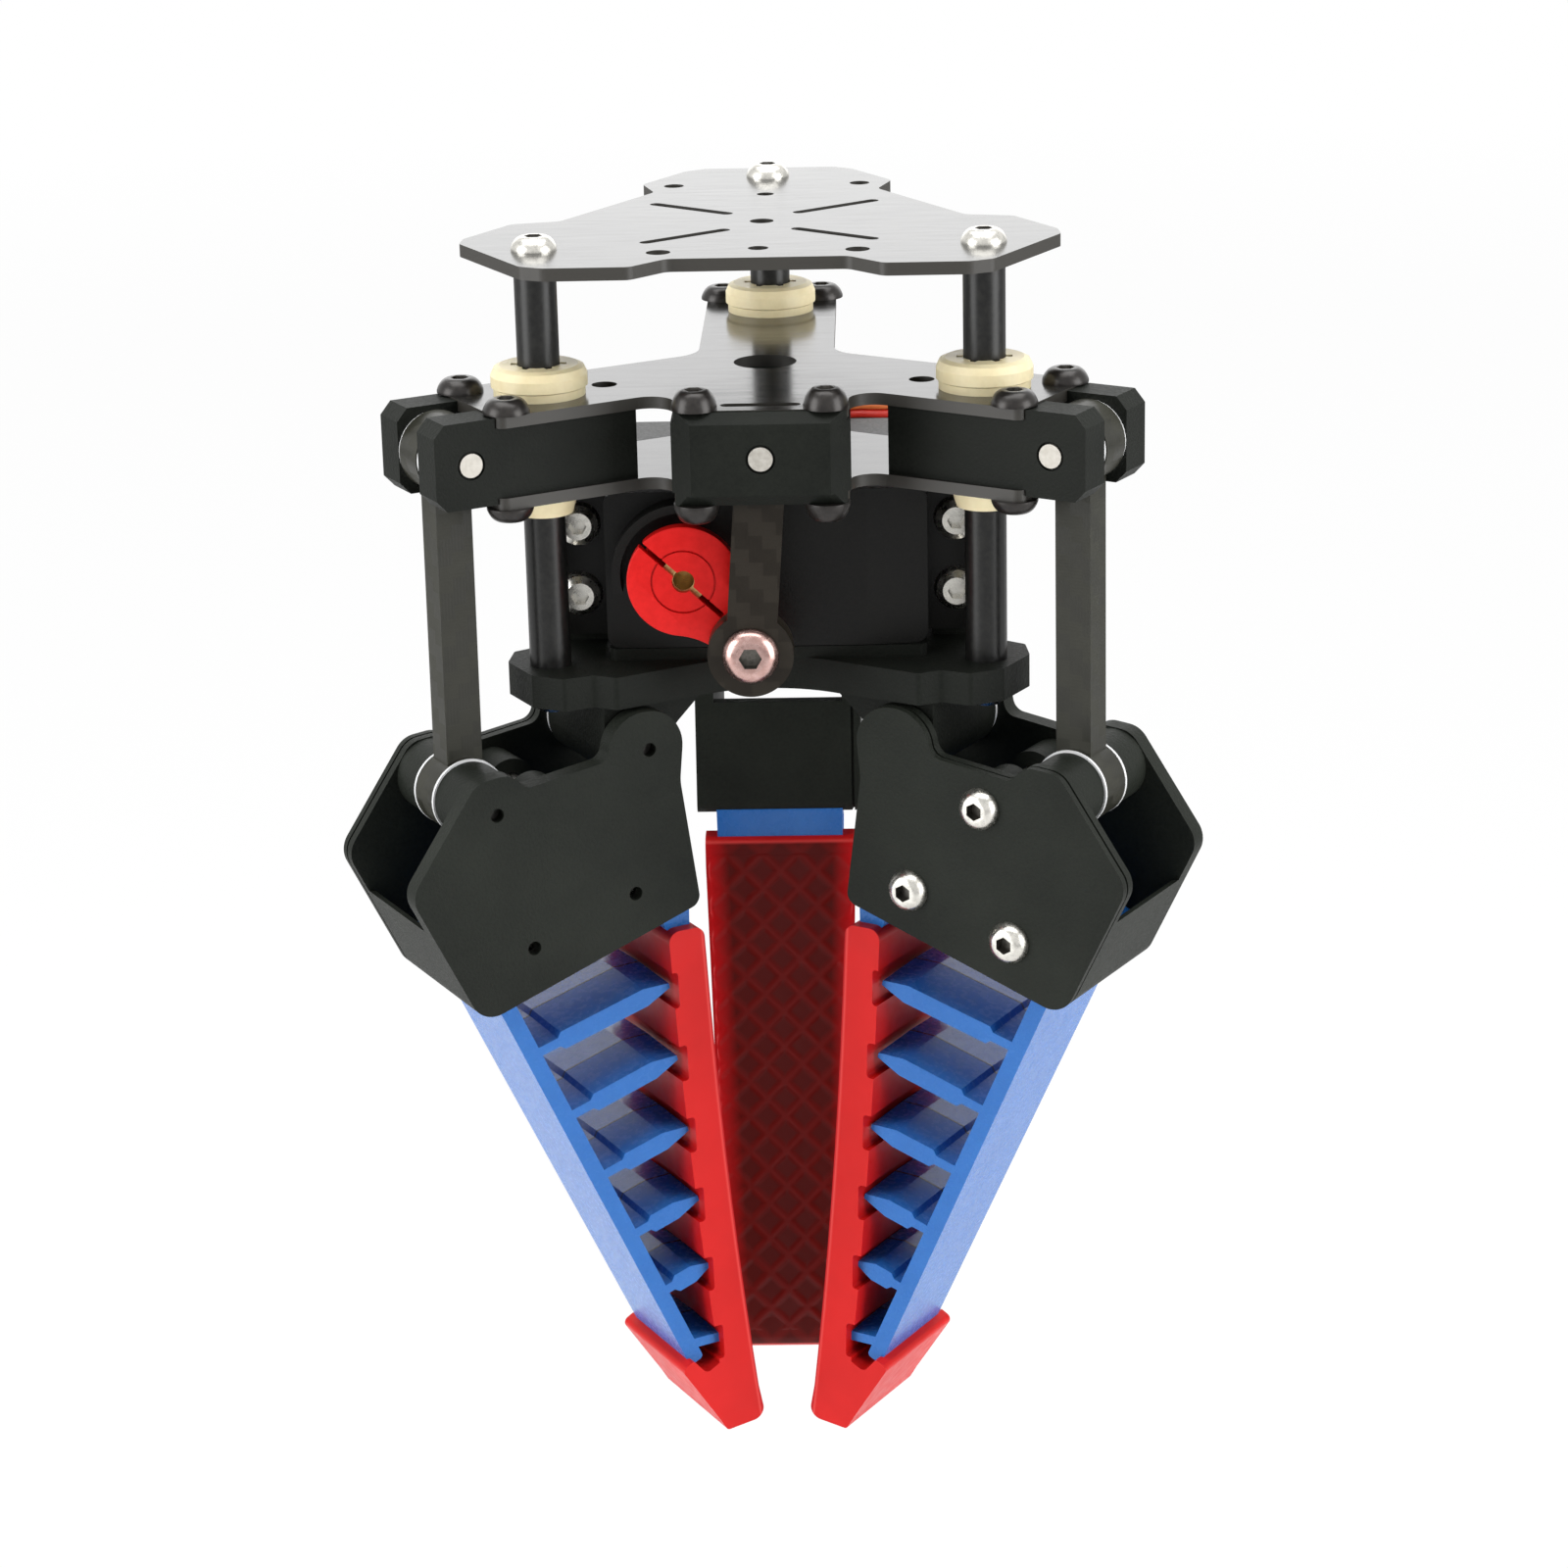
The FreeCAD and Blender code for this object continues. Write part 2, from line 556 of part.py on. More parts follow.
base_cover = prism(case_outline(CASE_CORNER), "y", MID_BACK, CASE_BACK)
base_cover = base_cover.cut(prism(case_inner, "y", MID_BACK - THROUGH, CASE_BACK - CASE_WALL))
base_cover = joined([base_cover] + case_posts(POST_R + 0.4, MID_BACK, CASE_BACK))
LEAD_EXIT = (CASE_X, 16.0, -42.5)
EXIT_HOLE_R = 2.4
CASE_HEAD_R = 1.9
CASE_HEAD_SINK = 2.0
cutters = [rod("x", LEAD_EXIT[1], LEAD_EXIT[2], EXIT_HOLE_R, CASE_X - 2, CASE_X + THROUGH)]
for x, z in CASE_SCREWS:
    cutters.append(rod("y", x, z, POST_BORE_R, MID_BACK - THROUGH, CASE_BACK))
    cutters.append(rod("y", x, z, CASE_HEAD_R + 0.1, CASE_BACK - CASE_HEAD_SINK, CASE_BACK + THROUGH))
save("servo_base_cover", without(base_cover, cutters))

case_screw = button_screw(CASE_HEAD_R, 1.2, 31.0, 1.3, CASE_SCREW_R)
case_head_y = CASE_BACK - CASE_HEAD_SINK
save("servo_case_screws", group([put(case_screw, "rear", (x, case_head_y, z)) for x, z in CASE_SCREWS]))
ear_screw = button_screw(2.85, 1.8, 8.0, 2.0)
save("servo_mount_screws", group([put(ear_screw, "front", (x, EAR_Y[0], z)) for x, z in EAR_SCREWS]))

motor = rod("y", MOTOR[0], MOTOR[1], MOTOR_R, -4.6, 15.0)
motor = motor.common(block(MOTOR[0] - 10, MOTOR[0] + 10, -5, 16, MOTOR[1] - 6.3, MOTOR[1] + 6.3))
motor = joined([
    motor, rod("y", MOTOR[0], MOTOR[1], 1.0, -12.0, -4.6), rod("y", MOTOR[0], MOTOR[1], 2.4, 15.0, 16.0),
])
save("servo_motor", motor)
BOARD_Y = (17.2, 18.4)
board = block(-16.5, 16.5, BOARD_Y[0], BOARD_Y[1], -49.0, -33.2)
board = without(board, [rod("y", x, z, 3.2, BOARD_Y[0] - 1, BOARD_Y[1] + 1) for x, z in CASE_SCREWS])
chips = [(-12, -6, 1.2, -44, -38), (2, 7, 1.0, -46, -42)]
for x0, x1, high, z0, z1 in chips:
    board = joined([board, block(x0, x1, BOARD_Y[1], BOARD_Y[1] + high, z0, z1)])
save("servo_board", board)


# Servo lead

LEAD_R = 1.1
grommet = rod("x", LEAD_EXIT[1], LEAD_EXIT[2], EXIT_HOLE_R - 0.05, CASE_X - CASE_WALL, CASE_X)
grommet = joined([grommet, rod("x", LEAD_EXIT[1], LEAD_EXIT[2], 3.0, CASE_X, CASE_X + 1.4)])
grommet = grommet.cut(rod("x", LEAD_EXIT[1], LEAD_EXIT[2], LEAD_R, CASE_X - 2, CASE_X + 2))
save("servo_lead_grommet", grommet)

lead_route = [
    (18.6, 16.0, -42.5), (26.2, 16.0, -42.5), (31.8, 20.0, -39.4), (32.5, 27.5, -35.0), (25.5, 31.5, -31.5),
    (17.0, 29.4, -32.2), (8.5, 26.9, -31.2), (1.2, 25.5, -34.6), (-2.5, 25.3, -41.5),
]


def lead_path(route):
    """Straight runs joined by arcs as large as their two runs allow."""
    points = [Vec(*place) for place in route]
    edges = []
    start = points[0]
    for index in range(1, len(points) - 1):
        here = points[index]
        back = (points[index - 1] - here)
        ahead = (points[index + 1] - here)
        shorter = min(back.Length, ahead.Length)
        back.normalize()
        ahead.normalize()
        half_turn = (math.pi - back.getAngle(ahead)) / 2
        reach = 0.45 * shorter
        radius = reach / math.tan(half_turn)
        centre = here + (back + ahead).normalize() * (radius / math.cos(half_turn))
        a = here + back * reach
        b = here + ahead * reach
        middle = centre + (here - centre).normalize() * radius
        edges.append(Part.LineSegment(start, a).toShape())
        edges.append(Part.Arc(a, middle, b).toShape())
        turn = math.degrees(2 * half_turn)
        print("lead radius", round(radius, 2), "turn", round(turn, 1), "run", round(shorter, 2))
        start = b
    edges.append(Part.LineSegment(start, points[-1]).toShape())
    return Part.Wire(edges)


path = lead_path(lead_route)
first = Vec(*lead_route[1]) - Vec(*lead_route[0])
section = Part.Wire(Part.makeCircle(LEAD_R, Vec(*lead_route[0]), first))
lead = path.makePipeShell([section], True, False)
print("lead length", round(path.Length, 1), "volume", round(lead.Volume, 1),
      "expected", round(path.Length * math.pi * LEAD_R ** 2, 1))
save("servo_lead", lead)

HANK_X = (-20.0, 12.0)
HANK_Z = (-52.7, -41.5)
HANK_Y = (CASE_BACK + 0.4, CASE_BACK + 5.2)
HANK_CORNER = 2.2
hank = prism([
    (HANK_X[0], HANK_Z[0], HANK_CORNER), (HANK_X[1], HANK_Z[0], HANK_CORNER),
    (HANK_X[1], HANK_Z[1], HANK_CORNER), (HANK_X[0], HANK_Z[1], HANK_CORNER),
], "y", HANK_Y[0], HANK_Y[1])
save("servo_lead_hank", hank)
PLUG_LONG = 14.0
PLUG_WIDE = 7.6
PLUG_Y = (HANK_Y[0] + 1.0, HANK_Y[1] - 1.2)
PLUG_Z = -47.6
PIN_PITCH = 2.54
plug_end = HANK_X[1] + PLUG_LONG
plug = prism([
    (HANK_X[1], PLUG_Z - PLUG_WIDE / 2, 0.4), (plug_end, PLUG_Z - PLUG_WIDE / 2, 0.4),
    (plug_end, PLUG_Z + PLUG_WIDE / 2, 0.4), (HANK_X[1], PLUG_Z + PLUG_WIDE / 2, 0.4),
], "y", PLUG_Y[0], PLUG_Y[1])
pin_holes = []
for place in (-1, 0, 1):
    z = PLUG_Z + place * PIN_PITCH
    y = PLUG_Y[0] + 0.85
    pin_holes.append(block(plug_end - 8, plug_end + 1, y, y + 0.9, z - 0.45, z + 0.45))
save("servo_plug", without(plug, pin_holes))


# Bottom plate

base_corners = []
for azimuth in (330.0, 90.0, 210.0):
    cosine = math.cos(math.radians(azimuth))
    sine = math.sin(math.radians(azimuth))
    base_arm = [
        (27.6, -10.2, 1.0), (29.4, -7.6, 1.0), (33.4, -7.2, 0.8), (36.0, -3.5, 0.8),
        (36.0, 3.5, 0.8), (33.4, 7.2, 0.8), (29.4, 7.6, 1.0), (27.6, 10.2, 1.0), (5.89, 10.2, 16.0),
    ]
    for r, t, radius in base_arm:
        base_corners.append((r * cosine - t * sine, r * sine + t * cosine, radius))
base_plate = prism(base_corners, "z", BASE_Z[0], BASE_Z[1])
LUG_HALF = 8.2
LUG_IN = PIVOT_AT - 5.0
LUG_OUT = PIVOT_AT + 4.7
LUG_LOW = PIVOT_Z - 5.0
LUG_TOP = BASE_Z[0] + 0.1
lug = prism([
    (LUG_IN - 4.8, LUG_TOP, 0), (LUG_IN - 3.2, LUG_TOP - 1.3, 2.0), (LUG_IN, PIVOT_Z + 1.5, 2.0),
    (LUG_IN, LUG_LOW, 4.9), (LUG_OUT, LUG_LOW, 4.6), (LUG_OUT, LUG_TOP, 0),
], "y", -LUG_HALF, LUG_HALF)
CRADLE_X = CASE_X - 0.2
CRADLE_Y = (CASE_FRONT, CASE_BACK - 0.5)
cradle = prism([
    (-CRADLE_X, CRADLE_Y[0], 1), (CRADLE_X, CRADLE_Y[0], 1),
    (CRADLE_X, CRADLE_Y[1], 1), (-CRADLE_X, CRADLE_Y[1], 1),
], "z", BASE_Z[1], CASE_Z[0] - 0.1)
EAR_POST_Y = (EAR_Y[1] + 0.1, 0.0)
ear_posts = []
for side in (-1, 1):
    x0, x1 = sorted((side * (CASE_X + 0.6), side * (EAR_X - 0.2)))
    ear_posts.append(block(x0, x1, EAR_POST_Y[0], EAR_POST_Y[1], BASE_Z[0], CASE_Z[1] - 0.5))
bottom_plate = joined([base_plate, cradle] + ear_posts + on_all_arms(lug))
cutters = []
column_hole = rod("z", COLUMN_AT, 0, CLEAR_R, BASE_Z[0] - THROUGH, BASE_Z[1] + THROUGH)
pivot_hole = rod("y", PIVOT_AT, PIVOT_Z, RUN_R, -LUG_HALF - THROUGH, LUG_HALF + THROUGH)
cutters.extend(on_all_arms(column_hole))
cutters.extend(on_all_arms(pivot_hole))
for x, z in EAR_SCREWS:
    cutters.append(rod("y", x, z, THREAD_R, EAR_POST_Y[0] - THROUGH, EAR_POST_Y[1] + THROUGH))
bottom_plate = without(bottom_plate, cutters)
save("bottom_plate", bottom_plate)
save("bottom_screws", group(on_all_arms(put(silver_plate_screw, "down", (COLUMN_AT, 0, BASE_Z[0])))))


# Levers

CHEEK_IN = LUG_HALF + SIDE_GAP + WASHER_T + SIDE_GAP
COVER_CHEEK_T = 1.2
COVER_WALL = 1.3
COVER_T = CHEEK_IN + COVER_CHEEK_T
LEVER_T = COVER_T + COVER_WALL
PEEP_R = 0.9
PIN_END = CHEEK_IN + 1.0
SCREW_END = CHEEK_IN + 0.6
BOSS_R = 4.7
LEVER_SCREWS = [(26.4, -81.3), (40.8, -85.8), (36.7, -68.8)]
lever_corners = [
    (18.6, -57.5, 5.0), (28.9, -57.5, 5.0), (29.7, -63.1, 1.8), (40.9, -64.6, 1.6), (43.2, -62.4, 2.8),
    (47.7, -62.8, 3.2), (57.2, -76.1, 3.3), (48.3, -94.5, 3.3), (17.2, -84.3, 1.6), (19.6, -67.4, 6.0),
]
front_cheek = prism(lever_corners, "y", CHEEK_IN, LEVER_T)
cover_cheek = prism(lever_corners, "y", -COVER_T, -CHEEK_IN)
lever_full = prism(lever_corners, "y", -CHEEK_IN, CHEEK_IN)
inner_wall = lever_full.common(prism([
    (15.0, -85.6, 0), (19.4, -85.6, 0), (20.6, -75.0, 0), (21.2, -69.4, 0), (15.0, -69.4, 0),
], "y", -CHEEK_IN, CHEEK_IN))
outer_wall = lever_full.common(prism([
    (60.0, -80.4, 0), (53.6, -81.8, 0), (46.4, -96.0, 0), (52.0, -98.0, 0),
], "y", -CHEEK_IN, CHEEK_IN))
bosses = []
for r, z, radius in ((LINK_PIN_AT, LINK_PIN_Z, BOSS_R), (LEVER_SCREWS[2][0], LEVER_SCREWS[2][1], 3.4)):
    bosses.append(rod("y", r, z, radius, WASHER_OUT, CHEEK_IN))
    bosses.append(rod("y", r, z, radius, -CHEEK_IN, -WASHER_OUT))
lever_body = joined([front_cheek, cover_cheek, inner_wall, outer_wall] + bosses)
cutters = []
for r, z in ((PIVOT_AT, PIVOT_Z), (LINK_PIN_AT, LINK_PIN_Z)):
    cutters.append(rod("y", r, z, PIN_R, -LEVER_T, PIN_END))
    cutters.append(rod("y", r, z, PEEP_R, PIN_END - SIDE_GAP, LEVER_T + THROUGH))
for r, z in LEVER_SCREWS:
    cutters.append(rod("y", r, z, THREAD_R, -LEVER_T, SCREW_END))
for r, z in LEVER_SCREWS[:2]:
    cutters.append(rod("y", r, z, PEEP_R, SCREW_END - SIDE_GAP, LEVER_T + THROUGH))
lever_body = without(lever_body, cutters)
SEAM = 0.35
cover_rim = Part.Face(outline(lever_corners, "y", -COVER_T - SEAM)).makeOffset2D(-SEAM)
lever_cover = joined([
    prism(lever_corners, "y", -LEVER_T, -COVER_T - SEAM), cover_rim.extrude(direction("y", SEAM)),
])
cover_holes = [rod("y", r, z, CLEAR_R, -LEVER_T - THROUGH, -CHEEK_IN) for r, z in LEVER_SCREWS]
lever_cover = without(lever_cover, cover_holes)
lever_screw = button_screw(2.7, 1.6, LEVER_T + SCREW_END - 0.5, 2.0)
pins = [rod("y", PIVOT_AT, PIVOT_Z, PIN_BODY_R, -COVER_T, PIN_END)]
pins.append(rod("y", LINK_PIN_AT, LINK_PIN_Z, PIN_BODY_R, -COVER_T, PIN_END))
washers = []
for place, inside, radius in (
    ((PIVOT_AT, PIVOT_Z), LUG_HALF + SIDE_GAP, WASHER_R),
    ((LINK_PIN_AT, LINK_PIN_Z), WASHER_IN, BOSS_R + 0.25),
):
    outside = inside + WASHER_T
    washers.append(ring("y", place[0], place[1], radius, RUN_R, inside, outside))
    washers.append(ring("y", place[0], place[1], radius, RUN_R, -outside, -inside))
screws = [put(lever_screw, "front", (r, -LEVER_T, z)) for r, z in LEVER_SCREWS]

finger_link = strap(
    "y", (CLEVIS_AT, CLEVIS_Z), LINK_EYE_R, (LINK_PIN_AT, LINK_PIN_Z), LINK_EYE_R, 4.8, 4.8,
    -LINK_HALF, LINK_HALF)
for place in ((CLEVIS_AT, CLEVIS_Z), (LINK_PIN_AT, LINK_PIN_Z)):
    finger_link = joined([finger_link, rod("y", place[0], place[1], LINK_EYE_R, -EYE_HALF, EYE_HALF)])
OPEN_BORE_R = PIN_R + 0.4
finger_link = without(finger_link, [
    rod("y", CLEVIS_AT, CLEVIS_Z, OPEN_BORE_R, -EYE_HALF - THROUGH, EYE_HALF + THROUGH),
    rod("y", LINK_PIN_AT, LINK_PIN_Z, RUN_R, -EYE_HALF - THROUGH, EYE_HALF + THROUGH),
])


# Finger core: root block, beam and six soft ribs

BEAM_SLOPE = 20.9 / 46.0
BEAM_TOP = (38.9, -102.0)


def beam_at(z):
    """Beam's inner face at a height."""
    return BEAM_TOP[0] + (z - BEAM_TOP[1]) * BEAM_SLOPE


lean_angle = math.atan(BEAM_SLOPE)
beam_normal = Vec(math.cos(lean_angle), -math.sin(lean_angle), 0)
BEAM_THICK = 2.2
CORE_HALF = 9.0
beam_top_z = -86.0
beam_end_z = -150.3
beam_corners = [
    (beam_at(beam_top_z), beam_top_z, 0), (beam_at(beam_end_z), beam_end_z, 0.6),
    (beam_at(beam_end_z) + beam_normal.x * BEAM_THICK, beam_end_z + beam_normal.y * BEAM_THICK, 0.6),
    (beam_at(beam_top_z) + beam_normal.x * BEAM_THICK, beam_top_z + beam_normal.y * BEAM_THICK, 0),
]
core_pieces = [prism(beam_corners, "y", -CORE_HALF, CORE_HALF)]
ROOT_IN = 17.6
ROOT_LOW = -88.6
root = prism([
    (ROOT_IN, ROOT_LOW, 0.5), (ROOT_IN + 3.4, ROOT_LOW, 1.2), (ROOT_IN + 4.0, ROOT_LOW + 3.0, 1.5),
    (ROOT_IN + 25.0, ROOT_LOW - 5.0, 2.0), (ROOT_IN + 29.2, ROOT_LOW - 2.9, 0),
    (ROOT_IN + 27.8, ROOT_LOW + 5.8, 1.5), (ROOT_IN + 4.4, ROOT_LOW + 14.0, 1.5),
    (ROOT_IN + 2.3, ROOT_LOW + 8.6, 0), (ROOT_IN + 2.1, ROOT_LOW + 6.0, 0.5), (ROOT_IN, ROOT_LOW + 4.4, 0.5),
], "y", -CORE_HALF, CORE_HALF)
core_pieces.append(root)
RIBS = [
    (-101.3, (20.7, -95.9)), (-111.0, (19.8, -106.2)), (-120.4, (18.5, -116.6)),
    (-129.9, (17.2, -126.9)), (-139.2, (15.9, -137.0)), (-148.0, (14.4, -148.0)),
]
RIB_THIN = 0.6
RIB_THICK = 1.25
RIB_TIP = 0.3
RIB_DRAFT = 0.35
for base_z, tip in RIBS:
    root_point = Vec(beam_at(base_z) + 0.6, base_z, 0)
    run = Vec(tip[0], tip[1], 0) - root_point
    length = run.Length
    run.normalize()
    side = Vec(-run.y, run.x, 0)
    film = min(3.9, length * 0.3)
    taper = min(3.6, length * 0.35)
    stations = [
        (0, RIB_THIN), (film - 0.6, RIB_THIN), (film, RIB_THICK),
        (length - taper, RIB_THICK), (length, RIB_TIP),
    ]
    if length < 7:
        stations = [(0, RIB_THIN), (length, RIB_THIN)]
    sections = []
    for place, draft in ((-CORE_HALF, 0), (0, RIB_DRAFT), (CORE_HALF, 0)):
        upper = [root_point + run * along + side * (half + draft) for along, half in stations]
        lower = [root_point + run * along - side * (half + draft) for along, half in reversed(stations)]
        sections.append(outline([(point.x, point.y, 0) for point in upper + lower], "y", place))
    core_pieces.append(Part.makeLoft(sections, True, True))
core = joined(core_pieces)
CORE_TOP_HALF = 8.6
CORE_LOW_HALF = 7.4
core_wedge = prism([
    (-CORE_TOP_HALF, -70, 0), (CORE_TOP_HALF, -70, 0), (CORE_TOP_HALF, -84, 0),
    (CORE_LOW_HALF, -153, 0), (-CORE_LOW_HALF, -153, 0), (-CORE_TOP_HALF, -84, 0),
], "x", 0, 70)
core = core.common(core_wedge)
core_bores = [rod("y", r, z, THREAD_R, -CORE_HALF - 1, CORE_HALF + 1) for r, z in LEVER_SCREWS[:2]]
core = without(core, core_bores + [lever_body])


# Finger pad: curved strip with notches that the ribs sit in, and a tip cap

def circle_through(a, b, c):
    """Centre and radius of the circle through three points of the section."""
    circle = Part.Circle(Vec(*a), Vec(*b), Vec(*c))
    return circle.Center, circle.Radius


PAD_TOP = (16.2, 0.0, -91.0)
PAD_MIDDLE = (13.6, 0.0, -122.0)
PAD_TIP = (8.8, 0.0, -160.0)
pad_centre, pad_radius = circle_through(PAD_TOP, PAD_MIDDLE, PAD_TIP)
PAD_BASE = 3.9
PAD_TOOTH = 5.1


def pad_curve(depth, z):
    """Pad's section curve at a depth from the gripping face."""
    radius = pad_radius + depth
    return pad_centre.x + math.sqrt(radius ** 2 - (z - pad_centre.z) ** 2)


def pad_arc(depth, z0, z1):
    middle = (z0 + z1) / 2
    points = [Vec(pad_curve(depth, z), -12, z) for z in (z0, middle, z1)]
    return Part.Arc(*points).toShape()


PAD_HIGH = -88.0
PAD_LOW = -158.5
inner = pad_arc(0, PAD_HIGH, PAD_LOW)
outer = pad_arc(PAD_TOOTH, PAD_LOW, PAD_HIGH)
low_in = Vec(pad_curve(0, PAD_LOW), -12, PAD_LOW)
low_out = Vec(pad_curve(PAD_TOOTH, PAD_LOW), -12, PAD_LOW)
low_edge = Part.LineSegment(low_in, low_out)
high_edge = Part.LineSegment(
    Vec(pad_curve(PAD_TOOTH, PAD_HIGH), -12, PAD_HIGH), Vec(pad_curve(0, PAD_HIGH), -12, PAD_HIGH))
strip = Part.Face(Part.Wire([inner, low_edge.toShape(), outer, high_edge.toShape()])).extrude(Vec(0, 24, 0))
NOTCHES = [-96.1, -106.5, -116.9, -127.2, -137.6, -148.0]
NOTCH_HALF = 2.5
cutters = []
for z in NOTCHES:
    floor = pad_curve(PAD_BASE, z)
    if z > -97:
        floor = floor + 0.3
    cutters.append(prism([
        (floor, z - NOTCH_HALF, 0.5), (floor + 6, z - NOTCH_HALF, 0), (floor + 6, z + NOTCH_HALF, 0),
        (floor + 0.25, z + NOTCH_HALF, 0.5),
    ], "y", -12, 12))
strip = without(strip, cutters)
cap = prism([
    (pad_curve(0, -156), -156, 0), (8.35, -160.9, 1.6), (14.2, -161.5, 0.6), (15.3, -159.6, 0.8),
    (20.9, -150.9, 0.8), (19.1, -149.9, 0.5), (17.2, -152.2, 1.0), (14.3, -150.6, 0.8), (13.2, -150.0, 0),
], "y", -12, 12)
pad_pieces = joined([strip, cap])
top_edges = []
for edge in pad_pieces.Edges:
    box = edge.BoundBox
    if box.ZMin > PAD_HIGH - 0.01 and box.YLength > 20:
        top_edges.append(edge)
pad_pieces = pad_pieces.makeFillet(1.5, top_edges)
pad_wedge = prism([
    (-10.2, -80, 0), (10.2, -80, 0), (10.2, -92, 0), (8.6, -162, 0), (-8.6, -162, 0), (-10.2, -92, 0),
], "x", 0, 30)
pad = pad_pieces.common(pad_wedge).cut(core)

for name, azimuth in ARMS.items():
    save("lever_body_" + name, turned(lever_body, azimuth))
    save("lever_cover_" + name, turned(lever_cover, azimuth))
    save("finger_pins_" + name, turned(group(pins), azimuth))
    save("lever_washers_" + name, turned(group(washers), azimuth))
    save("lever_screws_" + name, turned(group(screws), azimuth))
    save("finger_core_" + name, turned(core, azimuth))
    save("finger_pad_" + name, turned(pad, azimuth))
    save("finger_link_" + name, turned(finger_link, azimuth))
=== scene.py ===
import bpy
import bmesh
import math
from mathutils import Matrix, Vector


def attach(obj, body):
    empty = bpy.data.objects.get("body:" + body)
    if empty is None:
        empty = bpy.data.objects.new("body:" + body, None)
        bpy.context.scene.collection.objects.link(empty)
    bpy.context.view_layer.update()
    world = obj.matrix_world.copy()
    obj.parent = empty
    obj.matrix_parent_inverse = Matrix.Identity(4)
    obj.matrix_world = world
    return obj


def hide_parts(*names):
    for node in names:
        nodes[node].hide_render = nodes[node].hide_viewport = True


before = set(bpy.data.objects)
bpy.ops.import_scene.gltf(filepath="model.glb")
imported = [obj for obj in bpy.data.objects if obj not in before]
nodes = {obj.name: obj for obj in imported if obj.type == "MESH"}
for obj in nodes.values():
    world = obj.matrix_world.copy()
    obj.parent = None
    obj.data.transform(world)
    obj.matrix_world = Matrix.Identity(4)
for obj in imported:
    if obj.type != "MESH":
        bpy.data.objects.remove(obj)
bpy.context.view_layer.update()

ARMS = {"left": 210.0, "right": 330.0, "back": 90.0}
MM = 0.001


# Material helpers

def new_material(name, colour, roughness, metallic=0.0):
    """Principled material with its node tree ready for more."""
    material = bpy.data.materials.new(name)
    material.use_nodes = True
    shader = material.node_tree.nodes["Principled BSDF"]
    shader.inputs["Base Color"].default_value = (*colour, 1.0)
    shader.inputs["Roughness"].default_value = roughness
    shader.inputs["Metallic"].default_value = metallic
    return material


def shader_of(material):
    return material.node_tree.nodes["Principled BSDF"]


def add(material, kind, **settings):
    node = material.node_tree.nodes.new(kind)
    for name, value in settings.items():
        setattr(node, name, value)
    return node


def link(material, source, target):
    material.node_tree.links.new(source, target)


def object_position(material, azimuth=0.0):
    """Position on the piece at rest, in the arm's own directions when an azimuth is given."""
    coordinates = add(material, "ShaderNodeTexCoord")
    if azimuth == 0.0:
        return coordinates.outputs["Object"]
    mapping = add(material, "ShaderNodeMapping")
    mapping.inputs["Rotation"].default_value = (0.0, 0.0, -math.radians(azimuth))
    link(material, coordinates.outputs["Object"], mapping.inputs["Vector"])
    return mapping.outputs["Vector"]


def noise(material, position, scale, detail=4.0, roughness=0.6):
    node = add(material, "ShaderNodeTexNoise")
    node.inputs["Scale"].default_value = scale
    node.inputs["Detail"].default_value = detail
    node.inputs["Roughness"].default_value = roughness
    link(material, position, node.inputs["Vector"])
    return node.outputs["Fac"]


def spread(material, value, low, high, out_low, out_high):
    """Value moved from one range to another."""
    node = add(material, "ShaderNodeMapRange")
    node.inputs["From Min"].default_value = low
    node.inputs["From Max"].default_value = high
    node.inputs["To Min"].default_value = out_low
    node.inputs["To Max"].default_value = out_high
    link(material, value, node.inputs["Value"])
    return node.outputs["Result"]


def mixed_colour(material, factor, first, second):
    node = add(material, "ShaderNodeMix", data_type="RGBA")
    node.inputs["A"].default_value = (*first, 1.0)
    node.inputs["B"].default_value = (*second, 1.0)
    link(material, factor, node.inputs["Factor"])
    return node.outputs["Result"]


def add_bump(material, height, strength, distance):
    node = add(material, "ShaderNodeBump")
    node.inputs["Strength"].default_value = strength
    node.inputs["Distance"].default_value = distance
    link(material, height, node.inputs["Height"])
    link(material, node.outputs["Normal"], shader_of(material).inputs["Normal"])


def maths(material, operation, first, second=None, third=None):
    node = add(material, "ShaderNodeMath", operation=operation)
    for index, value in enumerate((first, second, third)):
        if value is None:
            continue
        if isinstance(value, (int, float)):
            node.inputs[index].default_value = value
        else:
            link(material, value, node.inputs[index])
    return node.outputs["Value"]


# The middle part of a noise's values, for slow and for fine noise.
CLOUD = (0.35, 0.65)
GRAIN = (0.3, 0.7)
SLOW_SCALE = 60.0
SLOW_SHARE = 0.6


def grainy(name, dark, light, roughness, grain_scale, grain_depth, strength=0.5):
    """Moulded or printed plastic with fine grain and slow colour variation."""
    material = new_material(name, light, roughness[0])
    position = object_position(material)
    slow = noise(material, position, scale=SLOW_SCALE, detail=3.0)
    fine = noise(material, position, scale=grain_scale, detail=2.0)
    fine_part = maths(material, "MULTIPLY", fine, 1.0 - SLOW_SHARE)
    both = maths(material, "MULTIPLY_ADD", slow, SLOW_SHARE, fine_part)
    factor = spread(material, both, *CLOUD, 0.0, 1.0)
    shader = shader_of(material)
    link(material, mixed_colour(material, factor, dark, light), shader.inputs["Base Color"])
    link(material, spread(material, fine, *GRAIN, *roughness), shader.inputs["Roughness"])
    add_bump(material, fine, strength=strength, distance=grain_depth)
    return material


# Materials

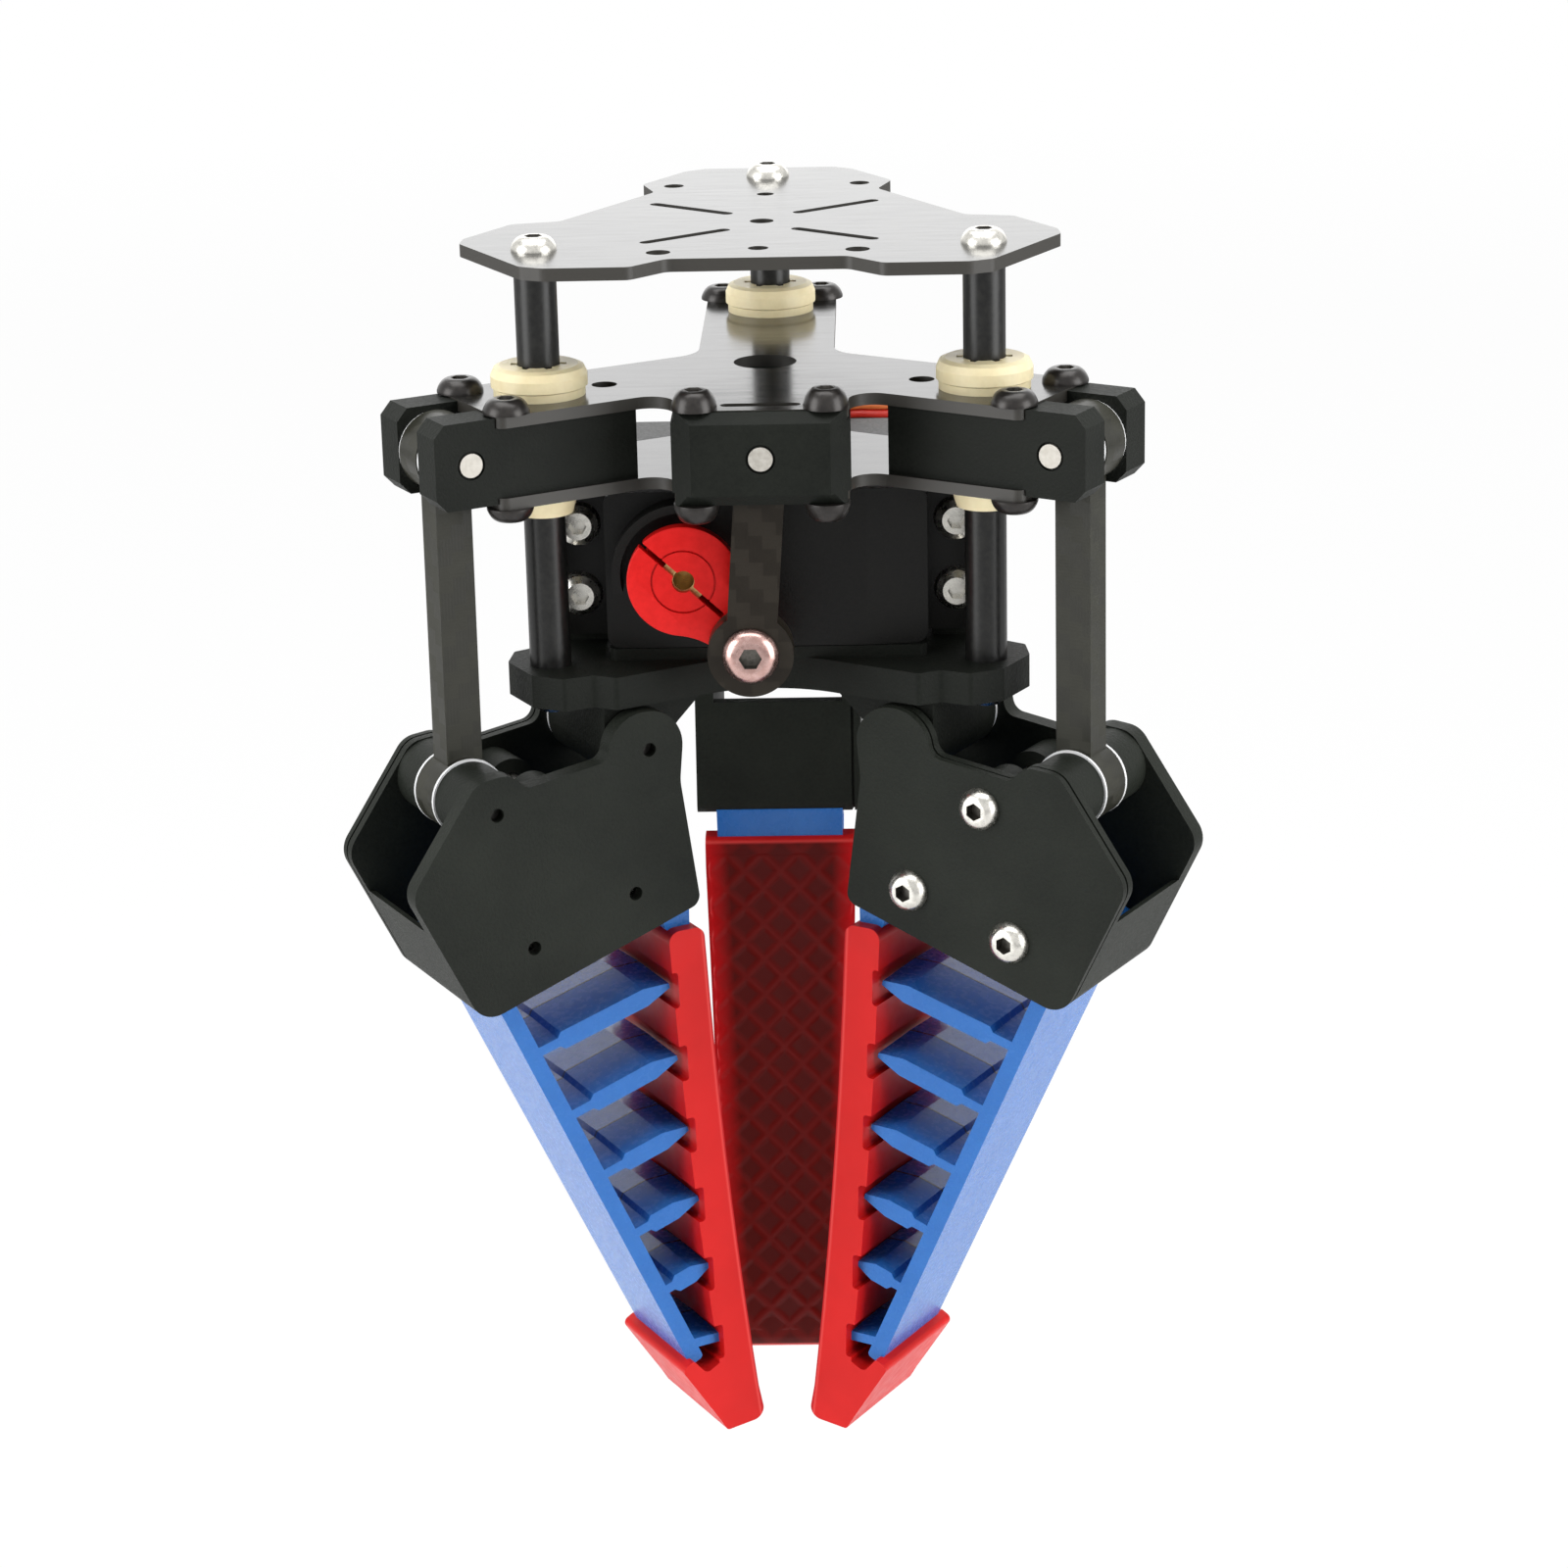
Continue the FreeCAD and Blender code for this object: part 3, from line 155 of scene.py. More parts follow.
black_nylon = grainy(
    "black nylon", dark=(0.007, 0.0085, 0.0065), light=(0.015, 0.0175, 0.0135), roughness=(0.5, 0.62),
    grain_scale=2600.0, grain_depth=0.00012)
block_nylon = grainy(
    "black block nylon", dark=(0.004, 0.005, 0.0038), light=(0.010, 0.0115, 0.009), roughness=(0.5, 0.62),
    grain_scale=2600.0, grain_depth=0.00012)
shader_of(black_nylon).inputs["Specular IOR Level"].default_value = 0.13
shader_of(block_nylon).inputs["Specular IOR Level"].default_value = 0.12
servo_plastic = grainy(
    "servo case plastic", dark=(0.003, 0.003, 0.003), light=(0.006, 0.006, 0.005), roughness=(0.34, 0.46),
    grain_scale=3500.0, grain_depth=0.00005)
shader_of(servo_plastic).inputs["Specular IOR Level"].default_value = 0.18
cream_plastic = grainy(
    "cream bush plastic", dark=(0.80, 0.69, 0.42), light=(0.90, 0.80, 0.52), roughness=(0.38, 0.5),
    grain_scale=900.0, grain_depth=0.00004, strength=0.3)
shader_of(cream_plastic).inputs["Subsurface Weight"].default_value = 0.15
shader_of(cream_plastic).inputs["Subsurface Radius"].default_value = (0.002, 0.0015, 0.001)
white_plastic = grainy(
    "white washer plastic", dark=(0.70, 0.71, 0.72), light=(0.84, 0.84, 0.84), roughness=(0.3, 0.4),
    grain_scale=900.0, grain_depth=0.00003, strength=0.2)
board_green = grainy(
    "circuit board", dark=(0.01, 0.10, 0.04), light=(0.02, 0.16, 0.06), roughness=(0.35, 0.45),
    grain_scale=800.0, grain_depth=0.00003, strength=0.2)


METAL_BUMP = 0.05
THIN_BUMP = 0.00003


def metal(name, dark, light, roughness, scale, metallic=1.0):
    """Metal with fine brushed or cast variation."""
    material = new_material(name, light, roughness[0], metallic)
    position = object_position(material)
    fine = noise(material, position, scale=scale, detail=3.0)
    shader = shader_of(material)
    factor = spread(material, fine, *CLOUD, 0.0, 1.0)
    link(material, mixed_colour(material, factor, dark, light), shader.inputs["Base Color"])
    link(material, spread(material, fine, *GRAIN, *roughness), shader.inputs["Roughness"])
    add_bump(material, fine, strength=METAL_BUMP, distance=THIN_BUMP)
    return material


silver_steel = metal(
    "polished steel", dark=(0.52, 0.51, 0.47), light=(0.68, 0.66, 0.61), roughness=(0.22, 0.34),
    scale=1200.0)
pin_steel = metal(
    "pin steel", dark=(0.38, 0.36, 0.32), light=(0.48, 0.46, 0.42), roughness=(0.5, 0.6),
    scale=1500.0, metallic=0.7)
# Painted shade: the finger pins are coloured near black, for the shade at the bottom of the levers' peep
# holes.
pin_steel_painted_shade = metal(
    "pin ends", dark=(0.020, 0.019, 0.017), light=(0.040, 0.038, 0.034), roughness=(0.4, 0.5),
    scale=1500.0, metallic=0.5)
crank_steel = metal(
    "crank screw steel", dark=(0.44, 0.27, 0.24), light=(0.54, 0.36, 0.33), roughness=(0.22, 0.3),
    scale=1200.0)
# Painted shade: the walls and floor of the hexagon sockets are coloured darker than the heads, for the
# shade down in the recess.
socket_painted_shade_steel = metal(
    "screw socket", dark=(0.09, 0.085, 0.075), light=(0.18, 0.17, 0.155), roughness=(0.4, 0.5),
    scale=1500.0)
black_steel = metal(
    "black oxide steel", dark=(0.014, 0.012, 0.011), light=(0.022, 0.019, 0.017), roughness=(0.28, 0.34),
    scale=1500.0, metallic=0.4)
black_anodised = metal(
    "black anodised tube", dark=(0.006, 0.006, 0.006), light=(0.012, 0.012, 0.011), roughness=(0.3, 0.38),
    scale=1500.0, metallic=0.3)
horn_red = metal(
    "red anodised horn", dark=(0.60, 0.005, 0.004), light=(0.66, 0.008, 0.007), roughness=(0.34, 0.42),
    scale=1500.0, metallic=0.3)
shader_of(horn_red).inputs["Specular IOR Level"].default_value = 0.3
shaft_brass = metal(
    "shaft brass", dark=(0.42, 0.28, 0.11), light=(0.62, 0.45, 0.20), roughness=(0.26, 0.38),
    scale=1500.0)


def faces_along(material, direction, low, high):
    """One where the surface looks along a direction of the piece, nought where it looks away."""
    normal = add(material, "ShaderNodeNewGeometry")
    turned = add(material, "ShaderNodeVectorMath", operation="DOT_PRODUCT")
    link(material, normal.outputs["True Normal"], turned.inputs[0])
    turned.inputs[1].default_value = direction
    return spread(material, turned.outputs["Value"], low, high, 0.0, 1.0)


FACE_TURN = (0.3, 0.7)
BRUSH_STRETCH = (0.12, 1.0, 1.0)
BRUSH_SCALE = 900.0
BRUSH_GLOSS = (0.13, 0.2)
SAWN_COLOUR = (0.020, 0.018, 0.014)
SAWN_ROUGHNESS = 0.5
LAMINATE_DARK = (0.010, 0.010, 0.009)
LAMINATE_LIGHT = (0.022, 0.021, 0.019)
LAMINATE_IOR = 1.52


def gloss_plate_material():
    """Black glossy laminate: polished faces with a faint lengthwise brushing, and raw sawn edges."""
    material = new_material("glossy black laminate", colour=(0.018, 0.018, 0.016), roughness=0.16)
    position = object_position(material)
    stretched = add(material, "ShaderNodeMapping")
    stretched.inputs["Scale"].default_value = BRUSH_STRETCH
    link(material, position, stretched.inputs["Vector"])
    brushed = noise(material, stretched.outputs["Vector"], scale=BRUSH_SCALE, detail=3.0)
    slow = noise(material, position, scale=45.0, detail=4.0)
    shader = shader_of(material)
    factor = spread(material, slow, *CLOUD, 0.0, 1.0)
    face = mixed_colour(material, factor, LAMINATE_DARK, LAMINATE_LIGHT)
    up = faces_along(material, (0.0, 0.0, 1.0), *FACE_TURN)
    down = faces_along(material, (0.0, 0.0, -1.0), *FACE_TURN)
    flat = maths(material, "MAXIMUM", up, down)
    sawn = add(material, "ShaderNodeMix", data_type="RGBA")
    link(material, flat, sawn.inputs["Factor"])
    sawn.inputs["A"].default_value = (*SAWN_COLOUR, 1.0)
    link(material, face, sawn.inputs["B"])
    link(material, sawn.outputs["Result"], shader.inputs["Base Color"])
    gloss = spread(material, brushed, *GRAIN, *BRUSH_GLOSS)
    roughness = add(material, "ShaderNodeMix", data_type="FLOAT")
    link(material, flat, roughness.inputs["Factor"])
    roughness.inputs["A"].default_value = SAWN_ROUGHNESS
    link(material, gloss, roughness.inputs["B"])
    link(material, roughness.outputs["Result"], shader.inputs["Roughness"])
    shader.inputs["IOR"].default_value = LAMINATE_IOR
    add_bump(material, brushed, strength=0.06, distance=THIN_BUMP)
    return material


gloss_plate = gloss_plate_material()

TWILL_PITCH = 0.0017
TWILL_REPEAT = 4.0
TWILL_OVER = 1.5
TWILL_STRANDS = 8
TWILL_CLOUD = 0.7
TWILL_SHEEN = 0.34
TWILL_ROUGHNESS = (0.34, 0.5)


def twill_material(name, azimuth, dark, light):
    """Woven sheet: squares of tow whose sheen alternates, seen on the face across the arm."""
    material = new_material(name, light, roughness=0.4)
    position = object_position(material, azimuth)
    parts = add(material, "ShaderNodeSeparateXYZ")
    link(material, position, parts.inputs["Vector"])
    u = maths(material, "ADD", parts.outputs["X"], parts.outputs["Y"])
    v = parts.outputs["Z"]
    column = maths(material, "FLOOR", maths(material, "DIVIDE", u, TWILL_PITCH))
    row = maths(material, "FLOOR", maths(material, "DIVIDE", v, TWILL_PITCH))
    over = maths(material, "FLOORED_MODULO", maths(material, "ADD", column, row), TWILL_REPEAT)
    crossing = maths(material, "LESS_THAN", over, TWILL_OVER)
    strand = TWILL_PITCH / TWILL_STRANDS
    strands_u = maths(material, "PINGPONG", maths(material, "DIVIDE", u, strand), 1.0)
    strands_v = maths(material, "PINGPONG", maths(material, "DIVIDE", v, strand), 1.0)
    along = add(material, "ShaderNodeMix", data_type="FLOAT")
    link(material, crossing, along.inputs["Factor"])
    link(material, strands_u, along.inputs["A"])
    link(material, strands_v, along.inputs["B"])
    shader = shader_of(material)
    soft = noise(material, position, scale=300.0, detail=3.0)
    sheen = maths(material, "MULTIPLY", crossing, TWILL_SHEEN)
    factor = maths(material, "MULTIPLY_ADD", soft, TWILL_CLOUD, sheen)
    link(material, mixed_colour(material, factor, dark, light), shader.inputs["Base Color"])
    link(material, spread(material, crossing, 0.0, 1.0, *TWILL_ROUGHNESS), shader.inputs["Roughness"])
    add_bump(material, along.outputs["Result"], strength=0.12, distance=THIN_BUMP)
    shader.inputs["Specular IOR Level"].default_value = 0.2
    return material


drive_twill = twill_material(
    "carbon weave drive link", azimuth=0.0, dark=(0.007, 0.005, 0.003), light=(0.020, 0.016, 0.011))

PARTING_HALF = 0.00013
PARTING_EDGE = 0.00022
RIBS_START = -0.0935
BEAM_SLOPE = 0.4543
BEAM_X = 0.0389
BEAM_Z = -0.102
BEAM_FACE = BEAM_X - BEAM_Z * BEAM_SLOPE
CORE_DARK = (0.016, 0.126, 0.42)
CORE_LIGHT = (0.019, 0.138, 0.45)
PARTING_COLOUR = (0.006, 0.014, 0.045)
CORE_ROUGHNESS = (0.2, 0.32)


def core_material(name, azimuth):
    """Blue soft plastic, a little cloudy, with a dark parting line where its two halves meet."""
    material = new_material(name, colour=(0.018, 0.135, 0.44), roughness=0.24)
    position = object_position(material, azimuth)
    parts = add(material, "ShaderNodeSeparateXYZ")
    link(material, position, parts.inputs["Vector"])
    off_middle = maths(material, "ABSOLUTE", parts.outputs["Y"])
    below = maths(material, "LESS_THAN", parts.outputs["Z"], RIBS_START)
    lean = maths(material, "MULTIPLY_ADD", parts.outputs["Z"], -BEAM_SLOPE, parts.outputs["X"])
    inside = maths(material, "MULTIPLY", below, maths(material, "LESS_THAN", lean, BEAM_FACE))
    near_middle = spread(material, off_middle, PARTING_HALF, PARTING_EDGE, 1.0, 0.0)
    parting = maths(material, "MULTIPLY", near_middle, inside)
    slow = noise(material, position, scale=180.0, detail=4.0)
    fine = noise(material, position, scale=1100.0, detail=2.0)
    factor = spread(material, slow, *CLOUD, 0.0, 1.0)
    blue = mixed_colour(material, factor, CORE_DARK, CORE_LIGHT)
    lined = add(material, "ShaderNodeMix", data_type="RGBA")
    link(material, parting, lined.inputs["Factor"])
    link(material, blue, lined.inputs["A"])
    lined.inputs["B"].default_value = (*PARTING_COLOUR, 1.0)
    shader = shader_of(material)
    shader.inputs["Specular IOR Level"].default_value = 0.33
    link(material, lined.outputs["Result"], shader.inputs["Base Color"])
    link(material, spread(material, fine, *GRAIN, *CORE_ROUGHNESS), shader.inputs["Roughness"])
    add_bump(material, slow, strength=0.035, distance=0.00025)
    shader.inputs["Subsurface Weight"].default_value = 0.1
    shader.inputs["Subsurface Radius"].default_value = (0.0005, 0.001, 0.003)
    return material


# The pad's gripping face is an arc through these three places of its section (distance out, height).
GRIP_TOP = (0.0162, -0.091)
GRIP_MIDDLE = (0.0136, -0.122)
GRIP_TIP = (0.0088, -0.160)


def circle_through(a, b, c):
    """Centre and radius of the circle through three points of the section."""
    d = 2 * (a[0] * (b[1] - c[1]) + b[0] * (c[1] - a[1]) + c[0] * (a[1] - b[1]))
    squares = [point[0] ** 2 + point[1] ** 2 for point in (a, b, c)]
    x = (squares[0] * (b[1] - c[1]) + squares[1] * (c[1] - a[1]) + squares[2] * (a[1] - b[1])) / d
    z = (squares[0] * (c[0] - b[0]) + squares[1] * (a[0] - c[0]) + squares[2] * (b[0] - a[0])) / d
    return x, z, math.hypot(a[0] - x, a[1] - z)


GRIP_X, GRIP_Z, GRIP_R = circle_through(GRIP_TOP, GRIP_MIDDLE, GRIP_TIP)
LOZENGE = 0.005
RIDGE_LOW = 0.33
RIDGE_HIGH = 0.42


def grip_at(z):
    """Distance from the axis to the gripping face at a height."""
    return GRIP_X + math.sqrt(GRIP_R ** 2 - (z - GRIP_Z) ** 2)


PAD_WIDE_Z = -0.092
PAD_WIDE = 0.0102
PAD_NARROW_Z = -0.162
PAD_NARROW = 0.0086
RIDGE_BLEND = (0.24, 0.44)
GRIP_DEPTH = (0.00012, 0.0003)
RIM_HIGHLIGHT_DEPTH = (0.0003, 0.0006)
# Width of the band of painted light along the gripping face's side edges.
EDGE_LIGHT_INSET = (0.0006, 0.0032)
PAD_DARK = (0.52, 0.008, 0.007)
PAD_LIGHT = (0.59, 0.010, 0.009)
# Painted shade: the gripping face is coloured far darker than the pad's sides, for the shade of the
# fingers round it. It is darkest in the lozenges and lighter on the ridges, which catch the light.
LOZENGE_PAINTED_SHADE = (0.078, 0.002, 0.001)
RIDGE_PAINTED_SHADE = (0.128, 0.003, 0.002)
# Painted highlight: a pale line where the gripping face meets the pad's sides.
RIM_PAINTED_HIGHLIGHT = (0.66, 0.055, 0.05)
# Painted light: brighter red near the gripping face's side edges, where light shines through the soft
# plastic.
EDGE_PAINTED_LIGHT = (0.45, 0.004, 0.006)
PAD_ROUGHNESS = (0.34, 0.46)


def half_width(z):
    """Half the pad's width at a height."""
    share = min(max((z - PAD_WIDE_Z) / (PAD_NARROW_Z - PAD_WIDE_Z), 0.0), 1.0)
    return PAD_WIDE + (PAD_NARROW - PAD_WIDE) * share


def pad_material(name, azimuth):
    """Soft red plastic. Its gripping face has painted shade, darkest in the lozenges and lighter on the
    ridges, with painted light near its side edges and a painted highlight along its rim.
    """
    material = new_material(name, colour=(0.52, 0.004, 0.004), roughness=0.4)
    position = object_position(material, azimuth)
    parts = add(material, "ShaderNodeSeparateXYZ")
    link(material, position, parts.inputs["Vector"])
    r, t, z = parts.outputs["X"], parts.outputs["Y"], parts.outputs["Z"]
    u = maths(material, "DIVIDE", t, LOZENGE)
    v = maths(material, "DIVIDE", z, LOZENGE)
    rising = maths(material, "PINGPONG", maths(material, "ADD", u, v), 0.5)
    falling = maths(material, "PINGPONG", maths(material, "SUBTRACT", u, v), 0.5)
    ridge = spread(material, maths(material, "MAXIMUM", rising, falling), *RIDGE_BLEND, 0.0, 1.0)
    below = maths(material, "SUBTRACT", z, GRIP_Z)
    drop = maths(material, "SUBTRACT", GRIP_R ** 2, maths(material, "MULTIPLY", below, below))
    face = maths(material, "ADD", maths(material, "SQRT", drop), GRIP_X)
    depth = maths(material, "SUBTRACT", r, face)
    grip = spread(material, depth, *GRIP_DEPTH, 1.0, 0.0)
    rim = spread(material, depth, *RIM_HIGHLIGHT_DEPTH, 1.0, 0.0)
    half = spread(material, z, PAD_WIDE_Z, PAD_NARROW_Z, PAD_WIDE, PAD_NARROW)
    inset = maths(material, "SUBTRACT", half, maths(material, "ABSOLUTE", t))
    inner = spread(material, inset, *EDGE_LIGHT_INSET, 0.0, 1.0)
    fine = noise(material, position, scale=600.0, detail=3.0)
    slow = noise(material, position, scale=90.0, detail=3.0)
    base = spread(material, slow, *GRAIN, 0.0, 1.0)
    red = mixed_colour(material, base, PAD_DARK, PAD_LIGHT)
    # Painted shade on the gripping face, lighter on the ridges.
    grip_painted_shade = mixed_colour(material, ridge, LOZENGE_PAINTED_SHADE, RIDGE_PAINTED_SHADE)

    def layered(factor, under, over):
        node = add(material, "ShaderNodeMix", data_type="RGBA")
        link(material, factor, node.inputs["Factor"])
        for socket, value in ((node.inputs["A"], under), (node.inputs["B"], over)):
            if isinstance(value, tuple):
                socket.default_value = (*value, 1.0)
            else:
                link(material, value, socket)
        return node.outputs["Result"]

    # Painted highlight along the rim of the gripping face.
    rim_highlighted = layered(rim, red, RIM_PAINTED_HIGHLIGHT)
    # Painted light near the side edges, fading into the painted shade inside them.
    grip_face_painted = layered(inner, EDGE_PAINTED_LIGHT, grip_painted_shade)
    shader = shader_of(material)
    link(material, layered(grip, rim_highlighted, grip_face_painted), shader.inputs["Base Color"])
    link(material, spread(material, fine, *GRAIN, *PAD_ROUGHNESS), shader.inputs["Roughness"])
    add_bump(material, fine, strength=0.2, distance=0.00005)
    shader.inputs["Specular IOR Level"].default_value = 0.18
    shader.inputs["Subsurface Weight"].default_value = 0.1
    shader.inputs["Subsurface Radius"].default_value = (0.002, 0.0003, 0.0002)
    return material


def paint(name, material):
    mesh = nodes[name].data
    mesh.materials.clear()
    mesh.materials.append(material)


PLAIN = {
    block_nylon: ["bottom_plate", "clevis_block_left", "clevis_block_right", "clevis_block_back",
                  "drive_clevis_block"],
    servo_plastic: ["servo_gearbox_cover", "servo_mid_case", "servo_base_cover", "servo_lead_grommet",
                    "servo_plug"],
    gloss_plate: ["top_plate", "carriage_upper_plate", "carriage_lower_plate"],
    black_anodised: ["column_left", "column_right", "column_back"],
    silver_steel: ["top_screws", "bottom_screws", "servo_mount_screws", "servo_case_screws",
                   "servo_motor"],
    pin_steel: ["clevis_pins", "drive_pin"],
    crank_steel: ["crank_screw"],
    black_steel: ["carriage_upper_screws", "carriage_lower_screws"],
    cream_plastic: ["bush_left", "bush_right", "bush_back"],
    drive_twill: ["drive_link"],
    horn_red: ["servo_horn"],
    shaft_brass: ["output_shaft"],
    white_plastic: ["clevis_washers"],
    board_green: ["servo_board"],
}
for material, names in PLAIN.items():
    for name in names:
        paint(name, material)
pad_reds = {}
for arm, azimuth in ARMS.items():
    paint("lever_body_" + arm, black_nylon)
    paint("lever_cover_" + arm, black_nylon)
    # Finger pins take the steel with painted shade.
    paint("finger_pins_" + arm, pin_steel_painted_shade)
    paint("lever_screws_" + arm, silver_steel)
    paint("lever_washers_" + arm, white_plastic)
    paint("finger_core_" + arm, core_material("blue core " + arm, azimuth))
    pad_reds[arm] = pad_material("red pad " + arm, azimuth)
    paint("finger_pad_" + arm, pad_reds[arm])
    paint("finger_link_" + arm, twill_material(
        "carbon weave link " + arm, azimuth, dark=(0.014, 0.014, 0.010), light=(0.034, 0.034, 0.026)))


def mesh_piece(name, vertices, faces, materials, smooth=True):
    mesh = bpy.data.meshes.new(name)
    mesh.from_pydata(vertices, [], faces)
    mesh.validate()
    for material in materials:
        mesh.materials.append(material)
    if smooth:
        mesh.shade_smooth()
    piece = bpy.data.objects.new(name, mesh)
    bpy.context.scene.collection.objects.link(piece)
    return piece


def stack_faces(levels, count, base=0):
    """Faces of a closed stack of rings: its sides, its first end and its last end."""
    faces = []
    for level in range(levels - 1):
        for step in range(count):
            a = base + level * count + step
            b = base + level * count + (step + 1) % count
            faces.append((a, b, b + count, a + count))
    last = base + (levels - 1) * count
    faces.append(tuple(reversed(range(base, base + count))))
    faces.append(tuple(range(last, last + count)))
    return faces


def band_faces(count):
    """Faces of a band closed on itself, through four loops that are the corners of its section."""
    faces = []
    for ring in range(4):
        for step in range(count):
            a = ring * count + step
            b = ring * count + (step + 1) % count
            c = ((ring + 1) % 4) * count + (step + 1) % count
            d = ((ring + 1) % 4) * count + step
            faces.append((a, b, c, d))
    return faces


# Button head screws: smooth domes with a hexagon socket, in place of the plainer solids

SCREW_SIDES = 48
DOME_STEPS = 9
DOME_START = 0.45
SOCKET_FLOOR = 0.1
SOCKET_DRAFT = 0.98
CROWN_SHARE = 0.70
RIM_SHARE = 0.16
SCREW_CREASE = math.radians(38.0)
SCREW_ARMS = (330.0, 90.0, 210.0)


def ring_of(radius, height):
    return [(radius * math.cos(2.0 * math.pi * step / SCREW_SIDES),
             radius * math.sin(2.0 * math.pi * step / SCREW_SIDES), height) for step in range(SCREW_SIDES)]


def hexagon_ring(across, height):
    """As many points as a round ring has, on the six sides of a hexagon."""
    points = []
    for step in range(SCREW_SIDES):
        angle = 2.0 * math.pi * step / SCREW_SIDES
        off = (angle % (math.pi / 3.0)) - math.pi / 6.0
        radius = across / 2.0 / math.cos(off)
        points.append((radius * math.cos(angle), radius * math.sin(angle), height))
    return points


def button_head(head_r, head_h, length, across, shank_r):
    """Rings of one screw from the end of its shank to the floor of its socket."""
    crown = across * CROWN_SHARE
    rim = head_h * RIM_SHARE
    rings = [ring_of(shank_r, -length), ring_of(shank_r, 0.0), ring_of(head_r, 0.0), ring_of(head_r, rim)]
    for step in range(1, DOME_STEPS + 1):
        angle = DOME_START + (math.pi / 2.0 - DOME_START) * step / DOME_STEPS
        out = math.cos(angle) / math.cos(DOME_START)
        rise = (math.sin(angle) - math.sin(DOME_START)) / (1.0 - math.sin(DOME_START))
        rings.append(ring_of(crown + (head_r - crown) * out, rim + (head_h - rim) * rise))
    rings.append(hexagon_ring(across, head_h))
    rings.append(hexagon_ring(across * SOCKET_DRAFT, head_h * SOCKET_FLOOR))
    return rings


def screw_piece(name, body, replaced, seats, shape, material):
    """Screws of one shape on their seats, each seat a place and the direction that its head points in."""
    rings = button_head(**shape)
    vertices, faces, owners = [], [], []
    for place, heading in seats:
        turn = Vector((0.0, 0.0, 1.0)).rotation_difference(Vector(heading))
        base = len(vertices)
        for ring in rings:
            vertices.extend((Vector(place) + turn @ Vector(point)) * MM for point in ring)
        faces.extend(stack_faces(len(rings), SCREW_SIDES, base))
        outside = (len(rings) - 2) * SCREW_SIDES
        # The socket's walls and floor take the second material, which carries the painted shade.
        owners.extend([0] * outside + [1] * SCREW_SIDES + [0, 1])
    piece = mesh_piece(name, vertices, faces, [material, socket_painted_shade_steel])
    for face, owner in zip(piece.data.polygons, owners):
        face.material_index = owner
    piece.data.set_sharp_from_angle(angle=SCREW_CREASE)
    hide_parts(replaced)
    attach(piece, body)


def round_arms(r, t, z):
    """A place given in an arm's directions, on each of the three arms."""
    places = []
    for azimuth in SCREW_ARMS:
        cosine, sine = math.cos(math.radians(azimuth)), math.sin(math.radians(azimuth))
        places.append((r * cosine - t * sine, r * sine + t * cosine, z))
    return places


# Sizes of each kind of screw in millimetres; across is the width of its socket.
SILVER_SHANK = 1.45
BLACK_SHANK = 1.05
TOP_SHAPE = {"head_r": 2.85, "head_h": 1.7, "length": 8.0, "across": 2.0, "shank_r": SILVER_SHANK}
LOBE_SHAPE = {"head_r": 2.8, "head_h": 2.4, "length": 5.5, "across": 2.0, "shank_r": BLACK_SHANK}
ARM_SHAPE = {"head_r": 2.9, "head_h": 1.8, "length": 5.5, "across": 2.0, "shank_r": BLACK_SHANK}
LEVER_SHAPE = {"head_r": 2.7, "head_h": 1.6, "length": 20.0, "across": 2.0, "shank_r": SILVER_SHANK}
CRANK_SHAPE = {"head_r": 3.5, "head_h": 1.5, "length": 9.2, "across": 2.5, "shank_r": SILVER_SHANK}
LEVER_SEAT = 11.2
CRANK_SEAT = (-1.9005, -25.5, -49.3001)
UP = (0.0, 0.0, 1.0)
DOWN = (0.0, 0.0, -1.0)
FRONT = (0.0, -1.0, 0.0)
COLUMN_AT = 31.7
CARRIAGE_SCREWS = ((39.4, 6.7), (39.4, -6.7))
LOBE_SCREWS = ((8.0, -25.4), (-8.0, -25.4))
UPPER_LEVEL = -18.0
LOWER_LEVEL = -29.7
screw_piece("top_screw_heads", "frame", "top_screws",
            [(place, UP) for place in round_arms(COLUMN_AT, 0.0, 0.0)], TOP_SHAPE, silver_steel)
for name, replaced, level, heading in (
    ("upper_screw_heads", "carriage_upper_screws", UPPER_LEVEL, UP),
    ("lower_screw_heads", "carriage_lower_screws", LOWER_LEVEL, DOWN),
):
    seats = [((x, y, level), heading) for x, y in LOBE_SCREWS]
    screw_piece(name + "_front", "carriage", replaced, seats, LOBE_SHAPE, black_steel)
    seats = []
    for r, t in CARRIAGE_SCREWS:
        seats.extend((place, heading) for place in round_arms(r, t, level))
    screw_piece(name + "_arms", "carriage", replaced, seats, ARM_SHAPE, black_steel)
LEVER_SCREWS = ((26.4, -81.3), (40.8, -85.8), (36.7, -68.8))
for arm, azimuth in ARMS.items():
    cosine, sine = math.cos(math.radians(azimuth)), math.sin(math.radians(azimuth))
    outwards = (sine, -cosine, 0.0)
    seats = []
    for r, z in LEVER_SCREWS:
        seats.append(((r * cosine + LEVER_SEAT * sine, r * sine - LEVER_SEAT * cosine, z), outwards))
    screw_piece("lever_screw_heads_" + arm, "finger_" + arm, "lever_screws_" + arm, seats,
                LEVER_SHAPE, silver_steel)
screw_piece("crank_screw_head", "horn", "crank_screw", [(CRANK_SEAT, FRONT)], CRANK_SHAPE, crank_steel)


# Horn: round disc with a waisted arm to the crank screw, a ring groove and a clamping slit

